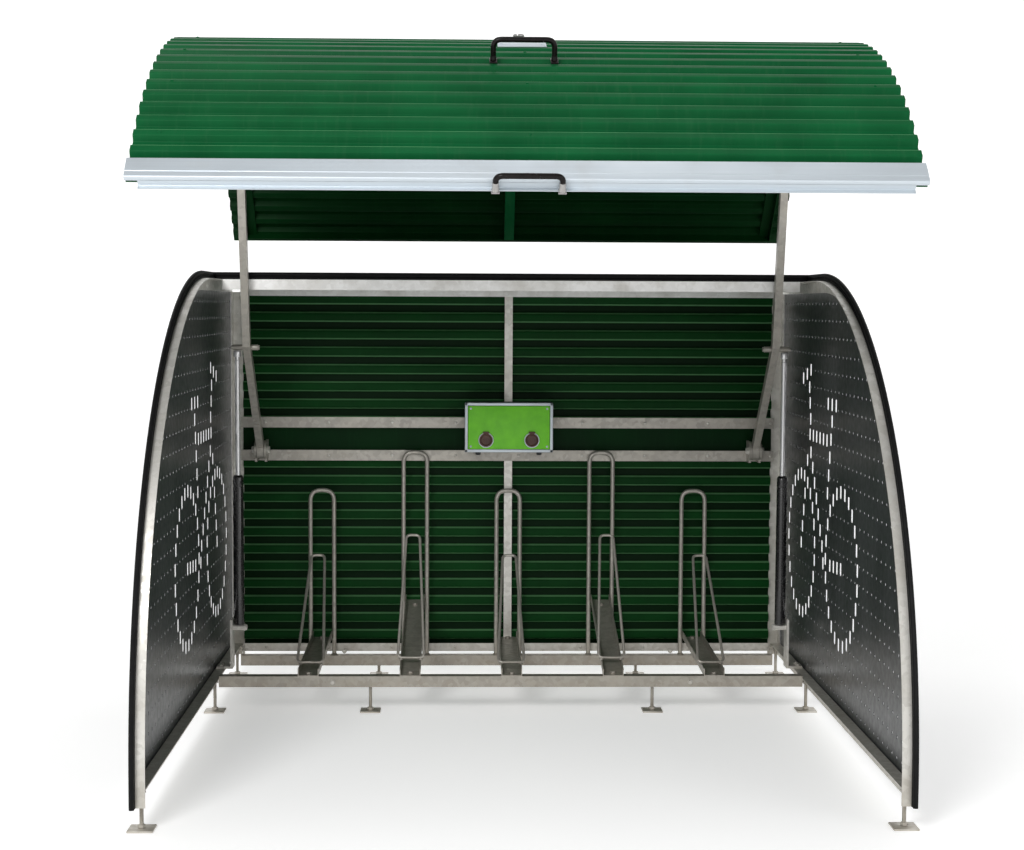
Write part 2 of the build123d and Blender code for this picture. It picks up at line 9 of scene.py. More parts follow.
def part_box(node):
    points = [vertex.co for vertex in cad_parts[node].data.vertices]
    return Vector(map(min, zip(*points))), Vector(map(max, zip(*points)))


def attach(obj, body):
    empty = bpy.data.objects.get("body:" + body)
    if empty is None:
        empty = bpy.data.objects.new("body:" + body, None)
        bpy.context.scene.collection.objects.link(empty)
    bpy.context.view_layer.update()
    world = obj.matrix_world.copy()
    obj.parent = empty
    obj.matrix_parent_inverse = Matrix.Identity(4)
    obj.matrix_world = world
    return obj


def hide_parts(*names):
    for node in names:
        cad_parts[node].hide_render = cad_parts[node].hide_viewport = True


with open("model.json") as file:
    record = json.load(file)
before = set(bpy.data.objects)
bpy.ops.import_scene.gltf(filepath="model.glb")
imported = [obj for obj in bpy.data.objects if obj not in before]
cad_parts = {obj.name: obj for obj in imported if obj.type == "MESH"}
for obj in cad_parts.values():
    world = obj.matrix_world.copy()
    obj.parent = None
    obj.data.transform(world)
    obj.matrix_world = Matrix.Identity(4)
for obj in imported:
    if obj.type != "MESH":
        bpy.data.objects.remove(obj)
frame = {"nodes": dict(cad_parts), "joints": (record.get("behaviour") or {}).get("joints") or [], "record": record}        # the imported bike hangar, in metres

scene = bpy.context.scene
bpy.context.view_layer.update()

# Photograph's view: focal length in pixels of a 1024 wide frame, place and turn of the camera
PICTURE_WIDTH = 1024
FOCAL_PIXELS = 1810.2
SENSOR_WIDTH = 36.0
CAMERA_ACROSS = -0.1635
CAMERA_BACK = 4.761
CAMERA_HEIGHT = 1.4024
CAMERA_YAW = 0.02584
CAMERA_PITCH = 0.06489
CAMERA_ROLL = 0.00447

# Arches, panels and seal, whose profile is in shares of its half width and height
ARCH_RADIUS = 1.35
ANGLE_WALL = 0.004
PANEL_MARGIN = 0.006
SEAL_WIDTH = 0.014
SEAL_SHOULDER = 0.25
SEAL_NECK = 0.55
SEAL_THROAT = 0.4
SEAL_BULB = 0.6
BULB_START_ANGLE = -50
BULB_TURN_ANGLE = 280
BULB_STEPS = 8

# Corrugated sheets, with the corners of a rib as shares of its pitch
SHEET_WALL = 0.0025
BEND_RADIUS = 0.004
BEND_STEPS = 3
WAVE_SHARES = (0.04, 0.16, 0.54, 0.66)
CREST_SHARE = 0.35
WALL_PITCH = 0.066
WALL_WAVE = 0.018
LID_OFFSET = 0.033
LID_FRONT = 0.036
LID_REAR = 1.586
LID_PITCH = 0.065
LID_WAVE = 0.018
LID_PROBE = 0.01

# Painted highlight on the folds of the walls: depths behind their front where the highlight starts, is full,
# fades and ends
FOLD_HIGHLIGHT = (0.001, 0.006, 0.012, 0.017)

# Bicycle figure and round perforation of the side panels
SLOT_WIDTH = 0.026
SLOT_HEIGHT = 0.042
SLOT_PITCH = 0.062
SLOT_WEB = 0.006
SLOT_CORNER = 0.006
SLOT_STEPS = 3
WHEEL = 0.5
WHEELBASE = 0.69
REAR_HUB = 1.03
HUB_HEIGHT = 0.56
STROKES = (
    ((0.0, 0.0), (0.42, -0.03)), ((0.42, -0.03), (0.25, 0.68)), ((0.45, 0.05), (0.77, 0.49)),
    ((0.28, 0.58), (0.80, 0.58)), ((1.0, 0.0), (0.80, 0.62)), ((0.79, 0.66), (0.83, 0.82)),
    ((0.16, 0.76), (0.35, 0.76)), ((0.80, 0.91), (1.0, 0.86)),
)
HOLE = 0.012
HOLE_PITCH = 0.058
HOLE_FOOT = 0.075
HOLE_EDGE = 0.058
HOLE_SLACK = 0.001

# Wheel racks; a weld's profile is (radius or distance past the rod, height)
RACKS = 5
RACK_RUN = 0.644
LOW_TRAY_ANGLE = 1.5
HIGH_TRAY_ANGLE = 14.0
TRAY_WALL = 0.003
TRAY_FLANGE = 0.024
TRAY_EDGE = 0.0345
TRAY_LIP_INSET = 0.002
TRAY_BOLT_FRONT = 0.02
TRAY_BOLT_REAR = 0.03
HOOP_ROD = 0.016
HOOP_BEND = 0.04
HOOP_WELD = ((0.006, 0.0), (0.0045, 0.002), (0.002, 0.005), (0.0, 0.007))
LOOP_ROD = 0.01
LOOP_FOOT = 0.046
LOOP_TOP = 0.024
LOOP_BEND = 0.018
LOOP_LENGTH = 0.48
LOOP_LEAN_ANGLE = 42.0
LOOP_OFFSET = 0.09
LOOP_WELD = ((0.0085, -0.0004), (0.007, 0.002), (0.0045, 0.0045), (0.002, 0.0052))

# Levelling feet; the nut's profile is in shares of its radius and height
BEAM_HEIGHT = 0.038
FOOT_PLATE = 0.07
FOOT_WALL = 0.006
FOOT_ROD = 0.012
FOOT_NUT = 0.022
FOOT_NUT_HEIGHT = 0.01
FOOT_NUT_SHARES = ((0.8, 0.0), (1.0, 0.12), (1.0, 0.88), (0.8, 1.0))
WASHER = 0.026
WASHER_WALL = 0.002
INNER_FOOT = 0.49
THREAD_PITCH = 0.00175
THREAD_ROOT = 0.86
ROOT_PLACE = 0.1
CREST_PLACE = 0.6

# Fascia
FASCIA_SEAT = 0.0003
FASCIA_HEIGHT = 0.068
FASCIA_DEPTH = 0.034
FASCIA_WALL = 0.003
FASCIA_HEM = 0.012
FASCIA_RETURN = 0.014
CREASE_TOP = 0.022
CREASE_FOOT = 0.0195
CREASE_DEPTH = 0.0014
LIP_START = 0.012
LIP_INSET = 0.034

# Handles; a foot's profile is (radius, height)
HANDLE_LENGTH = 0.19
HANDLE_BAR = 0.016
HANDLE_BEND = 0.024
HANDLE_START = 0.012
HANDLE_PLATE = 0.022
HANDLE_PLATE_WALL = 0.004
HANDLE_COLLAR = ((0.0095, 0.003), (0.0098, 0.006), (0.0088, 0.009))
SLEEVE_RADIUS = 0.0088
SLEEVE_TIP_RADIUS = 0.0078
SLEEVE_TIP = 0.003
FRONT_HANDLE_LEVEL = 0.016

# Lock; the knob's profile is (radius, height)
LOCK_KNOB = (
    (0.016, 0.0), (0.016, 0.004), (0.0125, 0.006), (0.012, 0.014), (0.0175, 0.0165), (0.0182, 0.019),
    (0.0172, 0.0225), (0.0145, 0.0242), (0.0075, 0.025), (0.0068, 0.0246), (0.001, 0.0246),
)
KEYWAY_CORNERS = ((-0.0009, -0.0045, 0.024), (0.0009, 0.0045, 0.0252))
LOCK_PLATE_CORNERS = ((-0.072, -0.034, 0.0), (0.072, 0.034, 0.003))
LOCK_PLATE_RIVETS = ((-0.06, 0.0, 0.003), (0.06, 0.0, 0.003))

# Arms and gas springs; profiles are (radius, distance from the foot's pin or below the rod's end)
ARM_PLACE = 0.93
STRUT_PLACE = 0.966
STRUT_PIN_REAR = 1.628
STRUT_PIN_HEIGHT = 1.258
TUBE_RADIUS = 0.019
CYLINDER = (
    (0.008, 0.0107), (0.0172, 0.0107), (0.0188, 0.0125), (0.019, 0.02), (0.019, 0.5), (0.0182, 0.502),
    (0.0182, 0.506), (0.019, 0.508), (0.019, 0.536), (0.0165, 0.541), (0.0135, 0.545), (0.0095, 0.545),
    (0.0095, 0.05), (0.001, 0.05),
)
ROD_START = ((0.007, 0.485), (0.009, 0.487))
ROD_END = (
    (0.009, 0.036), (0.0075, 0.034), (0.0075, 0.024), (0.0115, 0.0235), (0.013, 0.021), (0.013, 0.004),
    (0.0115, 0.001), (0.004, 0.0005),
)

# Utility box; radii of the collar and cup and heights of the flap are shares of the socket's radius
GLAND_PLACE = 0.05
GLAND = ((0.012, -0.002), (0.012, 0.004), (0.0095, 0.005), (0.0095, 0.012), (0.006, 0.014))
COVER_INSET = 0.012
COVER_SEAT = 0.002
RIVET_INSET = 0.022
BEZEL = 0.011
BEZEL_SET_BACK = 0.0004
BEZEL_SEAT = 0.004
COLLAR = ((0.86, 0.0), (1.04, 0.0), (1.04, 0.004), (0.98, 0.006), (0.86, 0.006))
CUP = (
    (0.96, -0.004), (0.96, 0.004), (0.9, 0.0066), (0.74, 0.0078), (0.68, 0.004), (0.64, 0.0014), (0.2, 0.001),
)
PIN_PLACE = 0.0095
PIN = ((0.0042, 0.0008), (0.0042, 0.0018), (0.003, 0.0022))
FLAP_WIDTH = 0.024
FLAP_DEPTH = 0.0078
FLAP_LOW = 0.88
FLAP_HIGH = 1.14

# Fasteners: rivets by their radius, bolts by their thread
PANEL_RIVET = 0.006
FRAME_RIVET = 0.005
ARCH_RIVET_INSET = 0.026
ARCH_RIVET_REAR = 0.03
FOOT_RIVETS = 11
FOOT_RIVET_START = 0.12
FOOT_RIVET_PITCH = 0.19
FOOT_RIVET_HEIGHT = 0.025
RAIL_RIVET_PITCH = 0.24
RAIL_RIVET_EDGE = 0.05
RAIL_RIVET_SHIFT = 0.04
BEAM_BOLT = 0.008
END_BOLT_REAR = 0.006
END_BOLT_DROP = 0.014
FACE_BOLT_PLACE = 0.62
FACE_BOLT_DROP = 0.02
HINGE_BOLT_OFFSET = 0.0225
STRUT_BOLT_INSET = 0.016
STRUT_BOLT_OFFSET = 0.018
STRUT_FOOT_WALL = 0.008
ELBOW_NUT_INNER = 0.035
ELBOW_NUT_OUTER = 0.013
WALL_SCREW_PITCH = 0.235
WALL_SCREWS = 4
WALL_SCREW_SINK = 0.0004
LID_RIVET_EDGE = 0.02
LID_RIVET_RIB = 0.006
LID_RIVET_FIRST = 2
LID_RIVET_STEP = 4

# Turn above which an edge between faces is shaded sharp
SMOOTH_DEGREES = 34.0

# Pieces given a darker copy of the galvanised steel, pieces given a lighter copy as painted light, and sheets
# in shade given a darker copy of the green coat as painted shade
DARKER_STEEL = (
    "wheel_", "left_lid_arm", "right_lid_arm", "upper_mid_rail", "lower_mid_rail", "hinge_brackets", "arm_",
    "front_beam", "rear_beam",
)
PAINTED_LIGHT_STEEL = ("roof_front_rail", "rear_top_rail")
SHADE_PAINTED_PIECES = ("rear_wall_strip", "lid_right_rim", "lid_left_rim", "lid_rear_rail")


def joint(name):
    return next(row for row in frame["joints"] if row["name"] == name)


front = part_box("right_arch")[0].y
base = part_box("right_arch")[0].z
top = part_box("right_arch")[1].z
spring = top - ARCH_RADIUS
hinge_y, hinge_z = joint("lid_hinge")["pos_m"][1:]
open_angle = radians(joint("lid_hinge")["range_deg"][1])


# Materials


def srgb(red, green, blue):
    """Linear colour from the usual 0 to 255 values."""
    def linear(value):
        share = value / 255
        return share / 12.92 if share <= 0.04045 else ((share + 0.055) / 1.055) ** 2.4
    return (linear(red), linear(green), linear(blue), 1.0)


class Finish:
    """One principled material, textured on object coordinates in metres."""

    def __init__(self, name, **constants):
        self.material = bpy.data.materials.new(name)
        self.material.use_nodes = True
        self.nodes = self.material.node_tree.nodes
        self.links = self.material.node_tree.links
        self.surface = self.nodes["Principled BSDF"]
        for socket, value in constants.items():
            self.surface.inputs[socket.replace("_", " ").title()].default_value = value
        self.place = self.nodes.new("ShaderNodeTexCoord").outputs["Object"]

    def put(self, socket, value):
        """A link where the value is another node's output, or else a constant."""
        if isinstance(value, bpy.types.NodeSocket):
            self.links.new(value, socket)
        else:
            socket.default_value = value

    def gloss(self, level):
        self.surface.inputs["Specular IOR Level"].default_value = level

    def noise(self, scale, detail=4.0, stretch=(1, 1, 1)):
        mapping = self.nodes.new("ShaderNodeMapping")
        mapping.inputs["Scale"].default_value = stretch
        self.links.new(self.place, mapping.inputs["Vector"])
        node = self.nodes.new("ShaderNodeTexNoise")
        node.inputs["Scale"].default_value = scale
        node.inputs["Detail"].default_value = detail
        self.links.new(mapping.outputs["Vector"], node.inputs["Vector"])
        return node.outputs["Fac"]

    def cells(self, scale):
        """One random level per crystal of the zinc."""
        node = self.nodes.new("ShaderNodeTexVoronoi")
        node.inputs["Scale"].default_value = scale
        self.links.new(self.place, node.inputs["Vector"])
        split = self.nodes.new("ShaderNodeSeparateColor")
        self.links.new(node.outputs["Color"], split.inputs["Color"])
        return split.outputs["Red"]

    def along(self, axis):
        split = self.nodes.new("ShaderNodeSeparateXYZ")
        self.links.new(self.place, split.inputs["Vector"])
        return split.outputs[axis]

    def spread(self, value, low, high, to_low, to_high):
        """The value mapped from one range to another, and held at its ends."""
        node = self.nodes.new("ShaderNodeMapRange")
        self.links.new(value, node.inputs["Value"])
        for name, number in (("From Min", low), ("From Max", high), ("To Min", to_low), ("To Max", to_high)):
            node.inputs[name].default_value = number
        return node.outputs["Result"]

    def times(self, first, second):
        node = self.nodes.new("ShaderNodeMath")
        node.operation = "MULTIPLY"
        self.put(node.inputs[0], first)
        self.put(node.inputs[1], second)
        return node.outputs["Value"]

    def mix(self, factor, first, second):
        """The first colour at a factor of 0, and the second at 1."""
        node = self.nodes.new("ShaderNodeMix")
        node.data_type = "RGBA"
        factor_socket, first_socket, second_socket = node.inputs[0], node.inputs[6], node.inputs[7]
        self.put(factor_socket, factor)
        self.put(first_socket, first)
        self.put(second_socket, second)
        return node.outputs[2]

    def colour(self, value):
        self.put(self.surface.inputs["Base Color"], value)

    def roughness(self, value):
        self.put(self.surface.inputs["Roughness"], value)

    def bump(self, height, strength, distance):
        node = self.nodes.new("ShaderNodeBump")
        node.inputs["Strength"].default_value = strength
        node.inputs["Distance"].default_value = distance
        self.links.new(height, node.inputs["Height"])
        before = self.surface.inputs["Normal"].links
        if before:
            self.links.new(before[0].from_socket, node.inputs["Normal"])
        self.links.new(node.outputs["Normal"], self.surface.inputs["Normal"])


def galvanised(name, light, dark):
    """Zinc spangle with dull clouds, and mud splashed on the lowest hand's breadth."""
    look = Finish(name, metallic=0.55)
    spangle = look.cells(70)
    cloud = look.noise(9, 6)
    zinc = look.mix(look.spread(spangle, 0, 1, 0, 0.5), light, dark)
    dull = look.mix(look.spread(cloud, 0.45, 0.7, 0, 0.45), zinc, srgb(176, 171, 160))
    splash = look.times(look.spread(look.along("Z"), 0.02, 0.2, 0.7, 0), look.noise(26, 6))
    look.colour(look.mix(splash, dull, srgb(134, 118, 92)))
    look.roughness(look.spread(spangle, 0, 1, 0.34, 0.5))
    look.bump(look.noise(260, 3), 0.06, 0.001)
    return look.material


def coil_coating(name, light, dark, streaked, gloss, groove=None):
    """Satin green coating: slight chalking, faint rain streaks and fine orange peel.

    A groove is the front of a folded sheet: behind it the folds get a painted highlight and the hollows
    painted shade.
    """
    look = Finish(name, coat_weight=0.02, coat_roughness=0.25)
    look.gloss(gloss)
    chalk = look.noise(5, 6)
    streak = look.noise(14, 5, (6.0, 0.5, 0.5))
    tone = look.mix(look.spread(chalk, 0.35, 0.7, 0, 1), dark, light)
    tone = look.mix(look.spread(streak, 0.55, 0.8, 0, 0.18), tone, streaked)
    if groove is not None:
        depth = look.along("Y")
        # Painted shade: darker the further back into the hollows.
        hollow_shade = look.spread(depth, groove, groove + WALL_WAVE, 0, 0.75)
        tone = look.mix(hollow_shade, tone, srgb(2, 16, 5))
        # Painted highlight: lighter on the slopes of the folds, by depth.
        start, full, fade, end = (groove + behind for behind in FOLD_HIGHLIGHT)
        rise = look.spread(depth, start, full, 0, 0.85)
        fall = look.spread(depth, fade, end, 1, 0)
        tone = look.mix(look.times(rise, fall), tone, srgb(96, 146, 100))
    look.colour(tone)
    look.roughness(look.spread(chalk, 0.3, 0.7, 0.38, 0.5))
    look.bump(look.noise(700, 2), 0.05, 0.0004)
    look.bump(look.noise(4, 2), 0.06, 0.004)
    return look.material


def powder_coat(name, light, dark, rough):
    """Fine textured powder coat with worn, greyer patches."""
    look = Finish(name, coat_weight=0.22, coat_roughness=0.25)
    rub = look.noise(6, 7, (1, 1, 0.35))
    look.colour(look.mix(look.spread(rub, 0.4, 0.72, 0, 1), dark, light))
    look.roughness(look.spread(look.noise(40, 5), 0.3, 0.7, rough - 0.06, rough + 0.08))
    look.bump(look.noise(900, 2), 0.08, 0.0004)
    return look.material


def brushed(name, light, dark, stretch, rough):
    """Metal with grain along one direction and a few duller smudges."""
    look = Finish(name, metallic=0.6)
    grain = look.noise(120, 4, stretch)
    smudge = look.noise(8, 5)
    tone = look.mix(grain, dark, light)
    look.colour(look.mix(look.spread(smudge, 0.55, 0.8, 0, 0.25), tone, srgb(180, 178, 172)))
    look.roughness(look.spread(smudge, 0.3, 0.7, rough, rough + 0.14))
    look.bump(grain, 0.05, 0.0004)
    return look.material


def moulded(name, light, dark, rough, grain, coat=0.0, gloss=0.5):
    """Rubber or plastic: a faint mottle, fine grain and dust that dulls it unevenly."""
    look = Finish(name, coat_weight=coat, coat_roughness=0.15)
    look.gloss(gloss)
    mottle = look.noise(30, 6)
    look.colour(look.mix(look.spread(mottle, 0.35, 0.75, 0, 1), dark, light))
    look.roughness(look.spread(look.noise(70, 4), 0.3, 0.7, rough, rough + 0.12))
    look.bump(look.noise(grain, 3), 0.1, 0.0005)
    return look.material


materials = {
    "galvanised": galvanised("galvanised_steel", srgb(216, 214, 208), srgb(182, 179, 172)),
    "green_sheet": coil_coating("green_coil_coating", srgb(16, 91, 50), srgb(12, 78, 42),
                                srgb(62, 104, 72), 0.05),
    "panel_grey": powder_coat("anthracite_powder_coat", srgb(62, 64, 66), srgb(44, 46, 48), 0.34),
    "fascia": brushed("anodised_fascia", srgb(206, 214, 220), srgb(193, 202, 209), (0.02, 1, 1), 0.4),
    "seal_rubber": moulded("seal_rubber", srgb(20, 20, 21), srgb(11, 11, 12), 0.55, 400, gloss=0.15),
    "tube_black": moulded("gloss_black_tube", srgb(24, 24, 25), srgb(13, 13, 14), 0.2, 600, 0.5),
    "rod_steel": brushed("ground_rod", srgb(232, 232, 232), srgb(205, 206, 208), (1, 1, 0.02), 0.14),
    "handle_black": moulded("handle_black", srgb(18, 12, 12), srgb(9, 6, 6), 0.24, 700, gloss=0.2),
    "lock_chrome": brushed("chrome", srgb(176, 174, 172), srgb(150, 149, 148), (1, 1, 1), 0.12),
    "box_body": moulded("box_housing", srgb(64, 66, 66), srgb(48, 50, 51), 0.45, 500),
    "box_cover": moulded("box_lime_face", srgb(116, 212, 22), srgb(102, 198, 16), 0.4, 500, 0.05),
    "socket_brown": moulded("socket_brown", srgb(92, 58, 46), srgb(74, 45, 36), 0.4, 500),
}
# Darker copy of the green coat: painted shade on the lid's inner face and on the pieces in shade.
shade_painted_coat = coil_coating("green_coat_painted_shade", srgb(6, 46, 17), srgb(4, 37, 13), srgb(20, 62, 30), 0.05)
# Darker copy of the green coat for the walls' inner face: painted shade, with painted shade in the hollows
# and painted highlights on the folds.
wall_shade_finish = coil_coating("green_wall_painted_shade", srgb(9, 62, 22), srgb(6, 51, 17), srgb(24, 72, 34), 0.05,
                         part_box("rear_wall_upper")[0].y)
# Lighter copy of the green coat: painted highlight on the upper fold of each lid crest.
fold_highlight_coat = coil_coating("green_painted_fold_highlight", srgb(84, 148, 100), srgb(66, 130, 84),
                           srgb(120, 156, 124), 0.12)
# Lighter copy of the galvanised steel: painted light on the roof front rail and the rear top rail.
painted_light_zinc = galvanised("galvanised_steel_painted_light", srgb(240, 240, 238), srgb(222, 221, 218))
# Darker copy of the galvanised steel for the listed galvanised pieces.
darker_zinc = galvanised("darker_galvanised_steel", srgb(176, 172, 164), srgb(140, 137, 130))


def finish_of(name, slot):
    """The slot's own finish, or by name a darker copy of the steel, a lighter copy as painted light, or the
    green coat darkened as painted shade.
    """
    if slot == "galvanised" and name.startswith(DARKER_STEEL):
        return darker_zinc
    if name.startswith(PAINTED_LIGHT_STEEL):
        return painted_light_zinc
    # Pieces in shade get the green coat darkened as painted shade.
    if name.startswith(SHADE_PAINTED_PIECES):
        return shade_painted_coat
    return materials[slot]


for row in frame["record"]["subparts"]:
    for slot in frame["nodes"][row["node"]].material_slots:
        slot.material = finish_of(row["node"], row["material_slot"])


# Mesh helpers, all in metres


def dress(name, mesh, slot, body, *nodes):
    """Link one mesh with its finish and body, in place of the solids that it stands for."""
    mesh.shade_smooth()
    mesh.set_sharp_from_angle(angle=radians(SMOOTH_DEGREES))
    mesh.materials.append(finish_of(name, slot))
    # Green sheets also get a darker copy of the coat as painted shade on their inner face, and a lighter copy
    # as painted highlight on folds.
    if slot == "green_sheet":
        mesh.materials.append(wall_shade_finish if body == "frame" else shade_painted_coat)
        mesh.materials.append(fold_highlight_coat)
    piece = bpy.data.objects.new(name, mesh)
    scene.collection.objects.link(piece)
    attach(piece, body)
    if nodes:
        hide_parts(*nodes)


def finished(name, bm, slot, body, *nodes):
    bmesh.ops.recalc_face_normals(bm, faces=bm.faces[:])
    mesh = bpy.data.meshes.new(name)
    bm.to_mesh(mesh)
    bm.free()
    dress(name, mesh, slot, body, *nodes)


def skin(bm, rings, looped=False):
    """Faces between successive rings of points; a run with two ends gets them capped."""
    made = [[bm.verts.new(point) for point in ring] for ring in rings]
    pairs = list(zip(made, made[1:]))
    if looped:
        pairs.append((made[-1], made[0]))
    for first, second in pairs:
        for a, b, c, d in zip(first, first[1:] + first[:1], second[1:] + second[:1], second):
            bm.faces.new((a, b, c, d))
    if not looped:
        bm.faces.new(made[0][::-1])
        bm.faces.new(made[-1])


def folded(bm, upper, lower, x0, x1, reverse=0, highlit_spans=()):
    """Sheet between two matching rows of (y, z) points, with the lower row's own finish number: on green
    sheets a darker copy, as painted shade.

    The upper row's listed spans get the finish after the lower row's one: on green sheets a lighter copy, as
    painted highlight.
    """
    rows = [[bm.verts.new((x, y, z)) for y, z in side] for x in (x0, x1) for side in (upper, lower)]
    top_a, low_a, top_b, low_b = rows
    for first, second in ((top_a, top_b), (low_b, low_a), (low_a, top_a), (top_b, low_b)):
        for span, (a, b, c, d) in enumerate(zip(first, first[1:], second[1:], second)):
            face = bm.faces.new((a, b, c, d))
            if first is low_b:
                # Lower row's faces: the darker copy as painted shade on green sheets; listed upper spans: the
                # lighter copy as painted highlight.
                face.material_index = reverse
            elif first is top_a and span in highlit_spans:
                face.material_index = reverse + 1
    for end in (0, -1):
        bm.faces.new((top_a[end], top_b[end], low_b[end], low_a[end]))


def rounded(points, radius, steps=3):
    """The same run of points, with a curve in place of each inner corner."""
    straight_angle = 0.001
    most = 0.49
    run = [points[0]]
    for before, corner, after in zip(points, points[1:], points[2:]):
        into = corner - before
        out = after - corner
        turn = into.angle(out)
        if turn < straight_angle:
            run.append(corner)
            continue
        reach = min(radius * tan(turn / 2), into.length * most, out.length * most)
        start = corner - into.normalized() * reach
        end = corner + out.normalized() * reach
        for step in range(steps + 1):
            share = step / steps
            run.append(start * (1 - share) ** 2 + corner * (2 * share * (1 - share)) + end * share ** 2)
    run.append(points[-1])
    return run


def thick(points, wall):
    """Two rows half a wall to each side of a run of (y, z) points."""
    least_lean = 0.5
    rows = ([], [])
    for number, point in enumerate(points):
        before = points[max(number - 1, 0)]
        after = points[min(number + 1, len(points) - 1)]
        into = (point - before).normalized() if number else (after - point).normalized()
        out = (after - point).normalized() if number < len(points) - 1 else into
        across = Vector((-(into.y + out.y), into.x + out.x)).normalized()
        lean = max(across.dot(Vector((-into.y, into.x))), least_lean)
        for row, side in zip(rows, (1, -1)):
            row.append(point + across * (side * wall / 2 / lean))
    return rows


def circle(sides):
    return [2 * pi * side / sides for side in range(sides)]


def tube(bm, points, radius, sides, looped=False):
    """Round bar along a run of points."""
    count = len(points)
    rings = []
    across = None
    for number, point in enumerate(points):
        before = points[number - 1] if looped else points[max(number - 1, 0)]
        after = points[(number + 1) % count] if looped else points[min(number + 1, count - 1)]
        ahead = (after - before).normalized()
        if across is None:
            across = ahead.orthogonal().normalized()
        across = (across - ahead * across.dot(ahead)).normalized()
        other = ahead.cross(across)
        rings.append([point + (across * cos(a) + other * sin(a)) * radius for a in circle(sides)])
    skin(bm, rings, looped)


def facing(origin, ahead):
    """Frame at a point with +Z along a direction."""
    return Matrix.Translation(origin) @ Vector(ahead).to_track_quat("Z", "Y").to_matrix().to_4x4()


def lathe(bm, spot, profile, sides=12, looped=False):
    """Turned shape about the Z axis of a frame, from (radius, height) pairs; looped makes a ring."""
    angles = circle(sides)
    rings = [[spot @ Vector((r * cos(a), r * sin(a), z)) for a in angles] for r, z in profile]
    skin(bm, rings, looped)


def block(bm, low, high, bevel, spot=Matrix()):
    """Bar with rounded edges between two opposite corners of a frame."""
    low = Vector(low)
    high = Vector(high)
    shape = spot @ Matrix.Translation((low + high) / 2) @ Matrix.Diagonal((*(high - low), 1.0))
    made = bmesh.ops.create_cube(bm, size=1.0, matrix=shape)
    edges = list(dict.fromkeys(edge for vert in made["verts"] for edge in vert.link_edges))
    bmesh.ops.bevel(bm, geom=edges, offset=bevel, segments=2, profile=0.5, affect="EDGES")


def bolt(bm, origin, ahead, size):
    """Chamfered hexagon head on a washer; size is the thread diameter."""
    spot = facing(origin, ahead)
    washer_shares = ((1.15, -0.05), (1.15, 0.12), (1.08, 0.18), (0.6, 0.18))
    head_shares = ((0.98, 0.18), (0.98, 0.68), (0.84, 0.82), (0.3, 0.84))
    lathe(bm, spot, [(r * size, z * size) for r, z in washer_shares], sides=18)
    lathe(bm, spot, [(r * size, z * size) for r, z in head_shares], sides=6)


def rivet(bm, origin, ahead, size):
    """Low dome with a flange; size is its radius."""
    dome_shares = ((1.0, -0.1), (0.99, 0.14), (0.8, 0.36), (0.42, 0.52), (0.05, 0.56))
    lathe(bm, facing(origin, ahead), [(r * size, z * size) for r, z in dome_shares])


# Places on the arches and on the raised lid


def arch_run(offset, rear, step):
    """(y, z) places and outward directions along an offset of the arch, from the foot to the rear."""
    radius = ARCH_RADIUS + offset
    upright = spring - base
    quarter = radius * pi / 2
    total = upright + quarter + rear - front - ARCH_RADIUS
    count = round(total / step)
    places = []
    for number in range(count + 1):
        along = total * number / count
        if along <= upright:
            place = (-offset, base + along)
            out = (-1.0, 0.0)
        elif along >= upright + quarter:
            place = (ARCH_RADIUS + along - upright - quarter, spring + radius)
            out = (0.0, 1.0)
        else:
            turn = (along - upright) / radius
            out = (-cos(turn), sin(turn))
            place = (ARCH_RADIUS + radius * out[0], spring + radius * out[1])
        places.append((Vector((front + place[0], place[1])), Vector(out)))
    return places


def raised(y, z):
    """Place on the closed lid, with y from the arches' front, turned open about the hinge."""
    dy = front + y - hinge_y
    dz = z - hinge_z
    c = cos(open_angle)
    s = sin(open_angle)
    return Vector((hinge_y + dy * c + dz * s, hinge_z - dy * s + dz * c))


lid_radius = ARCH_RADIUS + LID_OFFSET
lid_upright = spring - LID_FRONT
lid_quarter = lid_radius * pi / 2
lid_length = lid_upright + lid_quarter + LID_REAR - ARCH_RADIUS
lid_skin = LID_WAVE + SHEET_WALL
fascia_back = -LID_OFFSET - lid_skin - FASCIA_SEAT


def on_lid(along, height):
    """(y, z) at a distance from the lid's front edge and a height over its inner face."""
    radius = lid_radius + height
    if along <= lid_upright:
        return raised(-LID_OFFSET - height, LID_FRONT + along)
    if along >= lid_upright + lid_quarter:
        return raised(ARCH_RADIUS + along - lid_upright - lid_quarter, spring + radius)
    turn = (along - lid_upright) / lid_radius
    return raised(ARCH_RADIUS - radius * cos(turn), spring + radius * sin(turn))


def off_lid(along):
    """Place on the lid's crests and the direction out of the sheet, as (y, z)."""
    place = on_lid(along, lid_skin)
    return place, on_lid(along, lid_skin + LID_PROBE) - place


def lid_spot(along):
    """Frame on the crests in the lid's middle, with +Z out of the sheet."""
    place, out = off_lid(along)
    return facing((0.0, *place), (0.0, *out))


# Corrugated sheets, with rounded bends


def ribs(length, pitch):
    """Number of whole ribs on a sheet, and the plain margin at each end."""
    count = int(length / pitch)
    return count, (length - count * pitch) / 2


def wave(length, pitch, deep):
    """Trapezoid ribs as (distance, height) points."""
    count, margin = ribs(length, pitch)
    points = [Vector((0, 0))]
    for number in range(count):
        for share, level in zip(WAVE_SHARES, (0.0, deep, deep, 0.0)):
            points.append(Vector((margin + (number + share) * pitch, level)))
    points.append(Vector((length, 0.0)))
    return rounded(points, BEND_RADIUS, BEND_STEPS)


